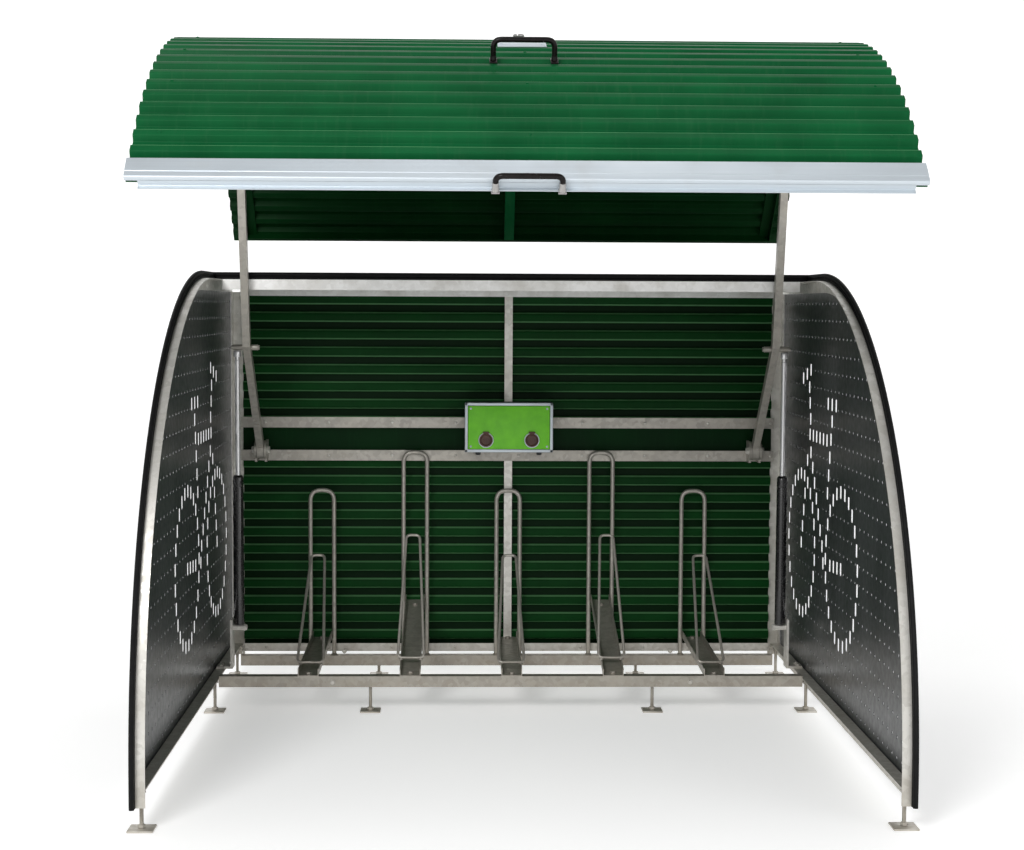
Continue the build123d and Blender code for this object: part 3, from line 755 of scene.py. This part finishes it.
def lid_sheet():
    """The lid's skin, with a painted highlight on the upper fold of each crest and painted shade on its inner
    face.
    """
    run = wave(lid_length, LID_PITCH, LID_WAVE)
    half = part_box("lid_sheet")[1].x
    corner = BEND_STEPS + 1
    crests = range(1 + 2 * corner, len(run) - 1, len(WAVE_SHARES) * corner)
    highlit_spans = {start + step for start in crests for step in range(BEND_STEPS)}
    outer = [on_lid(s, h + SHEET_WALL) for s, h in run]
    inner = [on_lid(s, h) for s, h in run]
    bm = bmesh.new()
    folded(bm, outer, inner, -half, half, 1, highlit_spans)
    finished("lid_skin", bm, "green_sheet", "lid", "lid_sheet")


def wall_sheet(node):
    low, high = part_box(node)
    run = wave(high.z - low.z, WALL_PITCH, WALL_WAVE)
    outer = [Vector((low.y + h + SHEET_WALL, low.z + s)) for s, h in run]
    inner = [Vector((low.y + h, low.z + s)) for s, h in run]
    bm = bmesh.new()
    folded(bm, outer, inner, low.x, high.x, 1)
    finished(node + "_skin", bm, "green_sheet", "frame", node)


# Side panels: the bicycle's slots and the round perforation, cut right through


def figure_slots():
    """Middles of the slots that draw the bicycle, as (y, z)."""
    radius = WHEEL / 2
    turns = round(WHEEL * pi / SLOT_PITCH)
    places = []
    for hub in (REAR_HUB, REAR_HUB + WHEELBASE):
        for angle in circle(turns):
            places.append((hub + radius * cos(angle), HUB_HEIGHT + radius * sin(angle)))
    for start_share, end_share in STROKES:
        start = Vector(start_share) * WHEELBASE
        stroke = Vector(end_share) * WHEELBASE - start
        count = max(round(stroke.length / SLOT_PITCH), 1)
        for step in range(count + 1):
            place = start + stroke * (step / count)
            places.append((REAR_HUB + place.x, HUB_HEIGHT + place.y))
    wide = SLOT_WIDTH + SLOT_WEB
    tall = SLOT_HEIGHT + SLOT_WEB
    kept = []
    for y, z in places:
        if all(abs(v - y) >= wide or abs(w - z) >= tall for v, w in kept):
            kept.append((y, z))
    return [(front + y, z) for y, z in kept]


def under_arch(y, z):
    dy = front + ARCH_RADIUS - y
    if dy < 0:
        return z < top - HOLE_EDGE
    return hypot(dy, max(z - spring, 0)) < ARCH_RADIUS - HOLE_EDGE + HOLE_SLACK


def perforation(slots, rear):
    """Middles of the round holes, clear of the frame and of the slots."""
    wide = SLOT_WIDTH / 2 + HOLE
    tall = SLOT_HEIGHT / 2 + HOLE
    places = []
    for row in range(int((top - base) / HOLE_PITCH)):
        z = base + HOLE_FOOT + row * HOLE_PITCH
        for column in range(int((rear - front) / HOLE_PITCH)):
            y = front + HOLE_EDGE + column * HOLE_PITCH
            clear = all(abs(y - v) > wide or abs(z - w) > tall for v, w in slots)
            if clear and under_arch(y, z) and y < rear - HOLE_EDGE:
                places.append((y, z))
    return places


def slot_outline(y, z):
    """Upright slot with rounded corners."""
    wide = SLOT_WIDTH / 2 - SLOT_CORNER
    tall = SLOT_HEIGHT / 2 - SLOT_CORNER
    outline = []
    for quarter, (across, up) in enumerate(((1, 1), (-1, 1), (-1, -1), (1, -1))):
        for step in range(SLOT_STEPS + 1):
            angle = pi / 2 * (quarter + step / SLOT_STEPS)
            outline.append((y + across * wide + SLOT_CORNER * cos(angle),
                            z + up * tall + SLOT_CORNER * sin(angle)))
    return outline


def round_outline(y, z):
    return [(y + HOLE / 2 * cos(a), z + HOLE / 2 * sin(a)) for a in circle(sides=10)]


def side_panel(node):
    """Panel filled between its rim and the cut outlines."""
    low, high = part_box(node)
    rim = [tuple(place) for place, out in arch_run(-PANEL_MARGIN, high.y, step=0.04)]
    slots = figure_slots()
    outlines = [rim + [(high.y, base)]]
    outlines += [slot_outline(y, z) for y, z in slots]
    outlines += [round_outline(y, z) for y, z in perforation(slots, high.y)]
    curve = bpy.data.curves.new(node + "_cut", "CURVE")
    curve.dimensions = "2D"
    curve.fill_mode = "BOTH"
    curve.extrude = (high.x - low.x) / 2
    for outline in outlines:
        spline = curve.splines.new("POLY")
        spline.points.add(len(outline) - 1)
        spline.use_cyclic_u = True
        for point, (y, z) in zip(spline.points, outline):
            point.co = (y, z, 0.0, 1.0)
    holder = bpy.data.objects.new(node + "_cut", curve)
    mesh = bpy.data.meshes.new_from_object(holder)
    mesh.name = node + "_perforated"
    bpy.data.objects.remove(holder)
    bpy.data.curves.remove(curve)
    upright = Matrix(((0, 0, 1, (low.x + high.x) / 2), (1, 0, 0, 0), (0, 1, 0, 0), (0, 0, 0, 1)))
    mesh.transform(upright)
    mesh.materials.clear()
    dress(node + "_perforated", mesh, "panel_grey", "frame", node)


# Bulb seal round the opening


def lid_seal():
    """Clip-on edge seal: a channel foot with a hollow-looking bulb on it."""
    low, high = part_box("lid_seal")
    tall = high.z - top
    half = SEAL_WIDTH / 2
    foot = [(half, tall * SEAL_SHOULDER), (half * SEAL_NECK, tall * SEAL_THROAT)]
    bulb = SEAL_BULB * tall / 2
    middle = tall - bulb
    profile = [(-half, 0.0), (half, 0.0), *foot]
    for step in range(BULB_STEPS + 1):
        angle = radians(BULB_START_ANGLE + BULB_TURN_ANGLE * step / BULB_STEPS)
        profile.append((bulb * cos(angle), middle + bulb * sin(angle)))
    profile += [(-across, height) for across, height in reversed(foot)]
    bm = bmesh.new()
    roof = high.y - SEAL_WIDTH
    for x in (low.x + half, high.x - half):
        skin(bm, [[(x + a, place.x + h * out.x, place.y + h * out.y) for a, h in profile]
                  for place, out in arch_run(0.0, roof, step=0.03)])
    skin(bm, [[(x, roof + half + a, top + h) for a, h in profile] for x in (low.x, high.x)])
    finished("lid_bulb_seal", bm, "seal_rubber", "frame", "lid_seal")


# Wheel racks


def hoops():
    radius = HOOP_ROD / 2
    weld = [(radius + past, height) for past, height in HOOP_WELD]
    for number in range(1, RACKS + 1):
        node = f"wheel_hoop_{number}"
        low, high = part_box(node)
        y = (low.y + high.y) / 2
        left, right, crest = low.x + radius, high.x - radius, high.z - radius
        corners = ((left, low.z), (left, crest), (right, crest), (right, low.z))
        bm = bmesh.new()
        tube(bm, rounded([Vector((x, y, z)) for x, z in corners], HOOP_BEND, steps=10), radius, sides=14)
        for x in (left, right):
            lathe(bm, Matrix.Translation((x, y, low.z)), weld, sides=14)
        finished(node + "_bent", bm, "galvanised", "frame", node)


def tray_spot(number):
    """Frame at the middle of a tray's front bottom edge, with +Y along the tray."""
    low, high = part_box(f"wheel_tray_{number}")
    angle = radians(HIGH_TRAY_ANGLE if number % 2 == 0 else LOW_TRAY_ANGLE)
    y = low.y + TRAY_FLANGE * sin(angle)
    return Matrix.Translation(((low.x + high.x) / 2, y, low.z)) @ Matrix.Rotation(angle, 4, "X")


def loops():
    """Leaning loops with a weld bead on each flange of their tray."""
    bm = bmesh.new()
    corners = [(0.0, 0.0), (LOOP_FOOT, 0.0), (LOOP_TOP, LOOP_LENGTH), (-LOOP_TOP, LOOP_LENGTH),
               (-LOOP_FOOT, 0.0), (0.0, 0.0)]
    bends = rounded([Vector((x, y, 0.0)) for x, y in corners], LOOP_BEND, steps=6)[:-1]
    seat = Matrix.Translation((0.0, LOOP_OFFSET, TRAY_FLANGE + LOOP_ROD / 2))
    lean = Matrix.Rotation(radians(LOOP_LEAN_ANGLE), 4, "X")
    for number in range(1, RACKS + 1):
        spot = tray_spot(number) @ seat @ lean
        tube(bm, [spot @ point for point in bends], LOOP_ROD / 2, sides=12, looped=True)
        for side in (-1, 1):
            bead = tray_spot(number) @ Matrix.Translation((side * TRAY_EDGE, LOOP_OFFSET, TRAY_FLANGE))
            lathe(bm, bead, LOOP_WELD)
    finished("wheel_loops_bent", bm, "galvanised", "frame", "wheel_loops")


def tray_details():
    """Bolt heads in the channels and a rolled lip along both flanges."""
    bm = bmesh.new()
    length = RACK_RUN - 2 * TRAY_LIP_INSET
    for number in range(1, RACKS + 1):
        spot = tray_spot(number)
        for side in (-1, 1):
            run = (TRAY_LIP_INSET, length / 2, length)
            lip = [spot @ Vector((side * TRAY_EDGE, y, TRAY_FLANGE)) for y in run]
            tube(bm, lip, radius=0.0022, sides=8)
        for along in (TRAY_BOLT_FRONT, RACK_RUN - TRAY_BOLT_REAR):
            bolt(bm, spot @ Vector((0, along, TRAY_WALL)), spot.col[2].xyz, size=0.01)
    finished("wheel_tray_details", bm, "galvanised", "frame")


# Levelling feet


def feet(node, inner):
    """Plates on threaded stems, under the side rails and an inner beam."""
    low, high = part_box(node)
    y = (low.y + high.y) / 2
    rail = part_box("right_bottom_rail")[1].z - ANGLE_WALL
    half = FOOT_PLATE / 2
    side_x = high.x - half
    spots = [(side_x, rail), (-side_x, rail)]
    if inner:
        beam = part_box(inner)[0].z + BEAM_HEIGHT - ANGLE_WALL
        spots += [(INNER_FOOT, beam), (-INNER_FOOT, beam)]
    stem_radius = FOOT_ROD / 2
    nut = [(r * FOOT_NUT / 2, z * FOOT_NUT_HEIGHT) for r, z in FOOT_NUT_SHARES]
    washer = [(stem_radius, 0), (WASHER / 2, 0), (WASHER / 2, WASHER_WALL), (stem_radius, WASHER_WALL)]
    bm = bmesh.new()
    for x, shelf in spots:
        block(bm, (x - half, y - half, 0.0), (x + half, y + half, FOOT_WALL), bevel=0.0015)
        stem = Matrix.Translation((x, y, FOOT_WALL))
        length = shelf - FOOT_WALL
        turns = int(length / THREAD_PITCH)
        thread = []
        for turn in range(turns):
            thread.append((stem_radius * THREAD_ROOT, (turn + ROOT_PLACE) * length / turns))
            thread.append((stem_radius, (turn + CREST_PLACE) * length / turns))
        lathe(bm, stem, thread)
        nut_top = length - FOOT_NUT_HEIGHT
        for start in (0, nut_top):
            lathe(bm, stem @ Matrix.Translation((0, 0, start)), nut, sides=6)
        lathe(bm, stem @ Matrix.Translation((0, 0, nut_top - WASHER_WALL)), washer, sides=16)
    finished(node + "_threaded", bm, "galvanised", "frame", node)


# Fascia, handles and lock


def fascia():
    """Folded strip: a face with one crease, a lip turned under it and a hem behind."""
    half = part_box("lid_front_rail")[1].x
    face_y = fascia_back - FASCIA_WALL / 2
    crown = LID_FRONT + FASCIA_HEIGHT
    floor = LID_FRONT - FASCIA_WALL / 2
    crease_y = face_y + CREASE_DEPTH
    hem_y = face_y + FASCIA_DEPTH - FASCIA_WALL
    face = [(face_y, crown), (face_y, floor + CREASE_TOP), (crease_y, floor + CREASE_FOOT), (crease_y, floor),
            (face_y + FASCIA_RETURN, floor)]
    lip = [(face_y + LIP_START, floor), (hem_y, floor), (hem_y, floor - FASCIA_WALL / 2 - FASCIA_HEM)]
    bm = bmesh.new()
    for line, span in ((face, half), (lip, half - LIP_INSET)):
        run = rounded([Vector(point) for point in line], radius=0.003)
        first, second = thick(run, FASCIA_WALL)
        folded(bm, [raised(*p) for p in first], [raised(*p) for p in second], -span, span)
    finished("lid_fascia", bm, "fascia", "lid", "lid_front_rail")


def bail_handle(name, spot, feet_slot, reach, plate_height, sleeve):
    """Bent black bar on two feet over back plates."""
    half = HANDLE_LENGTH / 2 - HANDLE_BAR / 2
    out = reach - HANDLE_BAR / 2
    corners = ((-half, HANDLE_START), (-half, out), (half, out), (half, HANDLE_START))
    run = rounded([Vector((x, 0, z)) for x, z in corners], HANDLE_BEND, steps=7)
    bm = bmesh.new()
    tube(bm, [spot @ point for point in run], HANDLE_BAR / 2, sides=16)
    finished(name + "_bail", bm, "handle_black", "lid", name)
    wide = HANDLE_PLATE / 2
    tall = plate_height / 2
    foot = [*HANDLE_COLLAR, (SLEEVE_RADIUS, sleeve), (SLEEVE_TIP_RADIUS, sleeve + SLEEVE_TIP)]
    bm = bmesh.new()
    for x in (-half, half):
        block(bm, (x - wide, -tall, 0), (x + wide, tall, HANDLE_PLATE_WALL), bevel=0.0012, spot=spot)
        lathe(bm, spot @ Matrix.Translation((x, 0, 0)), foot, sides=18)
    finished(name + "_feet", bm, feet_slot, "lid")


def handles():
    hem_y = fascia_back - FASCIA_WALL + FASCIA_DEPTH - FASCIA_WALL
    start = raised(hem_y, FRONT_HANDLE_LEVEL)
    ahead = raised(hem_y - LID_PROBE, FRONT_HANDLE_LEVEL) - start
    spot = facing((0.0, *start), (0.0, *ahead))
    bail_handle("front_handle", spot, "lock_chrome", reach=0.062, plate_height=0.02, sleeve=0.03)
    spot = lid_spot(along=0.6)
    bail_handle("top_handle", spot, "handle_black", reach=0.072, plate_height=0.044, sleeve=0.014)


def lock():
    spot = lid_spot(along=1.147)
    bm = bmesh.new()
    lathe(bm, spot, LOCK_KNOB, sides=28)
    block(bm, *KEYWAY_CORNERS, bevel=0.0002, spot=spot)
    finished("lid_lock_knob", bm, "lock_chrome", "lid", "lid_lock")
    spot = lid_spot(along=0.8)
    bm = bmesh.new()
    block(bm, *LOCK_PLATE_CORNERS, bevel=0.001, spot=spot)
    for place in LOCK_PLATE_RIVETS:
        rivet(bm, spot @ Vector(place), spot.col[2].xyz, size=0.005)
    finished("lid_lock_plate", bm, "fascia", "lid")


# Gas springs


def gas_spring(side):
    """Cylinder with a rolled groove and an open mouth, and the rod with its head."""
    foot = Vector(joint(side + "_strut_swing")["pos_m"])
    axis = Vector(joint(side + "_strut_slide")["axis"])
    spot = facing(foot, axis)
    bm = bmesh.new()
    lathe(bm, spot, CYLINDER, sides=28)
    finished(side + "_strut_cylinder", bm, "tube_black", side + "_tube", side + "_strut_tube")
    end = (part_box(side + "_strut_rod")[1].z - foot.z) / axis.z
    rod = [*ROD_START, *((radius, end - below) for radius, below in ROD_END)]
    bm = bmesh.new()
    lathe(bm, spot, rod, sides=24)
    finished(side + "_strut_shaft", bm, "rod_steel", side + "_rod", side + "_strut_rod")


# Utility box


def utility_box():
    low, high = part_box("utility_box")
    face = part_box("utility_cover")[0].y
    socket_low, socket_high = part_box("utility_sockets")
    outward = (0, -1, 0)
    bm = bmesh.new()
    block(bm, low, high, bevel=0.006)
    for x in (low.x + GLAND_PLACE, high.x - GLAND_PLACE):
        lathe(bm, facing((x, (low.y + high.y) / 2, low.z), (0, 0, -1)), GLAND, sides=6)
    finished("utility_housing", bm, "box_body", "frame", "utility_box")

    bm = bmesh.new()
    block(bm, (low.x + COVER_INSET, face, low.z + COVER_INSET),
          (high.x - COVER_INSET, low.y + COVER_SEAT, high.z - COVER_INSET), bevel=0.0025)
    finished("utility_face", bm, "box_cover", "frame", "utility_cover")

    bm = bmesh.new()
    bars = (((low.x, low.z), (high.x, low.z + BEZEL)), ((low.x, high.z - BEZEL), (high.x, high.z)),
            ((low.x, low.z), (low.x + BEZEL, high.z)), ((high.x - BEZEL, low.z), (high.x, high.z)))
    for (x0, z0), (x1, z1) in bars:
        block(bm, (x0, face + BEZEL_SET_BACK, z0), (x1, low.y + BEZEL_SEAT, z1), bevel=0.002)
    radius = (socket_high.z - socket_low.z) / 2
    centre_z = (socket_high.z + socket_low.z) / 2
    centres = [Vector((x, face, centre_z)) for x in (socket_low.x + radius, socket_high.x - radius)]
    collar = [(share * radius, height) for share, height in COLLAR]
    for centre in centres:
        lathe(bm, facing(centre, outward), collar, sides=32, looped=True)
    for x in (low.x + RIVET_INSET, high.x - RIVET_INSET):
        for z in (low.z + RIVET_INSET, high.z - RIVET_INSET):
            rivet(bm, (x, face, z), outward, size=0.0045)
    finished("utility_bezel", bm, "fascia", "frame")

    bm = bmesh.new()
    cup = [(share * radius, height) for share, height in CUP]
    for centre in centres:
        lathe(bm, facing(centre, outward), cup, sides=32)
        for x in (-PIN_PLACE, PIN_PLACE):
            lathe(bm, facing(centre + Vector((x, 0, 0)), outward), PIN)
        block(bm, centre + Vector((-FLAP_WIDTH / 2, -FLAP_DEPTH, radius * FLAP_LOW)),
              centre + Vector((FLAP_WIDTH / 2, 0.0, radius * FLAP_HIGH)), bevel=0.0015)
    finished("utility_socket_cups", bm, "socket_brown", "frame", "utility_sockets")


# Fasteners that hold the frame, the sheets and the lid together


def panel_rivets(bm, side):
    """Rivets through the panel into the arch and the bottom rail, seen on both faces."""
    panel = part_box("right_side_panel")[1]
    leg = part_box("right_arch")[1].x - ANGLE_WALL
    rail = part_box("right_bottom_rail")[1].x - ANGLE_WALL
    for place, out in arch_run(-ARCH_RIVET_INSET, panel.y - ARCH_RIVET_REAR, step=0.16)[1:]:
        rivet(bm, (side * panel.x, place.x, place.y), (side, 0, 0), PANEL_RIVET)
        rivet(bm, (side * leg, place.x, place.y), (-side, 0, 0), FRAME_RIVET)
    z = base + FOOT_RIVET_HEIGHT
    for step in range(FOOT_RIVETS):
        y = front + FOOT_RIVET_START + step * FOOT_RIVET_PITCH
        rivet(bm, (side * panel.x, y, z), (side, 0, 0), PANEL_RIVET)
        rivet(bm, (side * rail, y, z), (-side, 0, 0), FRAME_RIVET)


def beam_bolts(bm, node):
    low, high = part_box(node)
    y = (low.y + high.y) / 2 + END_BOLT_REAR
    for side in (-1, 1):
        bolt(bm, (side * (high.x - ANGLE_WALL), y, high.z - END_BOLT_DROP), (-side, 0, 0), BEAM_BOLT)
        bolt(bm, (side * FACE_BOLT_PLACE, low.y, high.z - FACE_BOLT_DROP), (0, -1, 0), BEAM_BOLT)


def rail_rivets(bm, node):
    low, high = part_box(node)
    count = int((high.x - RAIL_RIVET_EDGE) / RAIL_RIVET_PITCH)
    for step in range(-count, count + 1):
        x = step * RAIL_RIVET_PITCH + RAIL_RIVET_SHIFT
        rivet(bm, (x, low.y, (low.z + high.z) / 2), (0, -1, 0), size=0.0055)


def pivot_bolts(bm, side):
    """Bolts of the lid's hinge and of the gas spring's foot on one side."""
    for way in (-1, 1):
        bolt(bm, (side * ARM_PLACE + way * HINGE_BOLT_OFFSET, hinge_y, hinge_z), (way, 0, 0), size=0.014)
    foot_low, foot_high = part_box("strut_feet")
    swing = joint(("left" if side < 0 else "right") + "_strut_swing")["pos_m"]
    bolt(bm, (side * (STRUT_PLACE - TUBE_RADIUS), swing[1], swing[2]), (-side, 0, 0), size=0.011)
    x = side * (foot_high.x - STRUT_BOLT_INSET)
    for offset in (-STRUT_BOLT_OFFSET, STRUT_BOLT_OFFSET):
        bolt(bm, (x, swing[1] + offset, foot_low.z + STRUT_FOOT_WALL), (0, 0, 1), size=0.008)


def frame_fasteners():
    bm = bmesh.new()
    for node in ("front_beam", "rear_beam"):
        beam_bolts(bm, node)
    for node in ("upper_mid_rail", "lower_mid_rail", "rear_bottom_rail"):
        rail_rivets(bm, node)
    for side in (-1, 1):
        panel_rivets(bm, side)
        pivot_bolts(bm, side)
    finished("frame_fasteners", bm, "galvanised", "frame")


def sheet_screws():
    """Washered screws through the first and last ribs of the rear sheets, seen from behind."""
    bm = bmesh.new()
    for node in ("rear_wall_upper", "rear_wall_lower"):
        low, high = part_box(node)
        count, margin = ribs(high.z - low.z, WALL_PITCH)
        for number in (0, count - 1):
            z = low.z + margin + (number + CREST_SHARE) * WALL_PITCH
            for step in range(-WALL_SCREWS, WALL_SCREWS + 1):
                bolt(bm, (step * WALL_SCREW_PITCH, high.y - WALL_SCREW_SINK, z), (0, 1, 0), size=0.006)
    finished("wall_screws", bm, "galvanised", "frame")


def lid_fasteners():
    """Painted rivets that hold the lid's sheet on its rims and its rib."""
    bm = bmesh.new()
    count, margin = ribs(lid_length, LID_PITCH)
    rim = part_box("lid_right_rim")[1].x - LID_RIVET_EDGE
    for number in range(LID_RIVET_FIRST, count - 1, LID_RIVET_STEP):
        place, out = off_lid(margin + (number + CREST_SHARE) * LID_PITCH)
        for x in (-rim, LID_RIVET_RIB, rim):
            rivet(bm, (x, *place), (0, *out), size=0.005)
    finished("lid_sheet_rivets", bm, "green_sheet", "lid")


def arm_fasteners():
    """Nuts on both ends of the elbow pins."""
    bm = bmesh.new()
    pin_y = front + STRUT_PIN_REAR
    for side in (-1, 1):
        for x, way in ((ARM_PLACE - ELBOW_NUT_INNER, -1), (STRUT_PLACE + ELBOW_NUT_OUTER, 1)):
            bolt(bm, (side * x, pin_y, STRUT_PIN_HEIGHT), (side * way, 0, 0), size=0.0095)
    finished("arm_fasteners", bm, "galvanised", "lid")


lid_sheet()
for wall in ("rear_wall_upper", "rear_wall_lower"):
    wall_sheet(wall)
for panel in ("left_side_panel", "right_side_panel"):
    side_panel(panel)
lid_seal()
hoops()
loops()
tray_details()
feet("front_feet", None)
feet("middle_feet", "front_beam")
feet("rear_feet", "rear_beam")
fascia()
handles()
lock()
gas_spring("left")
gas_spring("right")
utility_box()
frame_fasteners()
sheet_screws()
lid_fasteners()
arm_fasteners()


# Studio: pale floor swept up behind the object, white surround and soft lamps


def studio_floor():
    half = 14.0
    bend_start = 5.0
    bend_radius = 4.0
    steps = 16
    rows = [(-half, 0.0), (bend_start, 0.0)]
    for step in range(1, steps + 1):
        turn = pi / 2 * step / steps
        rows.append((bend_start + bend_radius * sin(turn), bend_radius * (1 - cos(turn))))
    rows.append((bend_start + bend_radius, half))
    bm = bmesh.new()
    left = [bm.verts.new((-half, y, z)) for y, z in rows]
    right = [bm.verts.new((half, y, z)) for y, z in rows]
    for a, b, c, d in zip(left, right, right[1:], left[1:]):
        bm.faces.new((a, b, c, d))
    mesh = bpy.data.meshes.new("studio_floor")
    bm.to_mesh(mesh)
    bm.free()
    mesh.shade_smooth()
    look = Finish("pale_floor", emission_color=(1, 1, 1, 1), emission_strength=0.38)
    look.colour(look.mix(look.noise(1.5, 3), srgb(250, 250, 250), srgb(246, 246, 245)))
    look.roughness(look.spread(look.noise(3, 3), 0.3, 0.7, 0.75, 0.85))
    mesh.materials.append(look.material)
    floor = bpy.data.objects.new("studio_floor", mesh)
    scene.collection.objects.link(floor)


def lamp(name, place, aim, size, power):
    data = bpy.data.lights.new(name, "AREA")
    data.shape = "DISK"
    data.size = size
    data.energy = power
    light = bpy.data.objects.new(name, data)
    light.location = place
    light.rotation_euler = (Vector(aim) - Vector(place)).to_track_quat("-Z", "Y").to_euler()
    scene.collection.objects.link(light)


def studio_light():
    world = bpy.data.worlds.new("studio_white")
    world.use_nodes = True
    nodes = world.node_tree.nodes
    links = world.node_tree.links
    surround = nodes["Background"]
    surround.inputs["Color"].default_value = (1, 1, 1, 1)
    split = nodes.new("ShaderNodeSeparateXYZ")
    links.new(nodes.new("ShaderNodeTexCoord").outputs["Generated"], split.inputs["Vector"])
    fade = nodes.new("ShaderNodeMapRange")
    for name, number in (("From Min", 0.12), ("From Max", 0.7), ("To Min", 0.98), ("To Max", 0.3)):
        fade.inputs[name].default_value = number
    links.new(split.outputs["Z"], fade.inputs["Value"])
    links.new(fade.outputs["Result"], surround.inputs["Strength"])
    scene.world = world
    scene.view_settings.view_transform = "Standard"
    lamp("key", place=(-2.6, -6.4, 4.6), aim=(0, 0, 1.0), size=2.6, power=260)
    lamp("fill", place=(4.5, -4.5, 2.4), aim=(0, 0, 0.8), size=3.2, power=40)
    lamp("top", place=(0.5, -0.5, 6.5), aim=(0, 0, 1.5), size=3.0, power=30)


def photo_camera():
    data = bpy.data.cameras.new("photo_camera")
    data.sensor_width = SENSOR_WIDTH
    data.lens = FOCAL_PIXELS / PICTURE_WIDTH * SENSOR_WIDTH
    ahead = Vector((sin(CAMERA_YAW) * cos(CAMERA_PITCH),
                    cos(CAMERA_YAW) * cos(CAMERA_PITCH), -sin(CAMERA_PITCH)))
    level = Vector((cos(CAMERA_YAW), -sin(CAMERA_YAW), 0.0))
    right = Matrix.Rotation(-CAMERA_ROLL, 3, ahead) @ level
    up = right.cross(ahead)
    turn = Matrix((right, up, -ahead)).transposed()
    camera = bpy.data.objects.new("photo_camera", data)
    place = Vector((CAMERA_ACROSS, front - CAMERA_BACK, CAMERA_HEIGHT))
    camera.matrix_world = Matrix.Translation(place) @ turn.to_4x4()
    scene.collection.objects.link(camera)
    scene.camera = camera


studio_floor()
studio_light()
photo_camera()
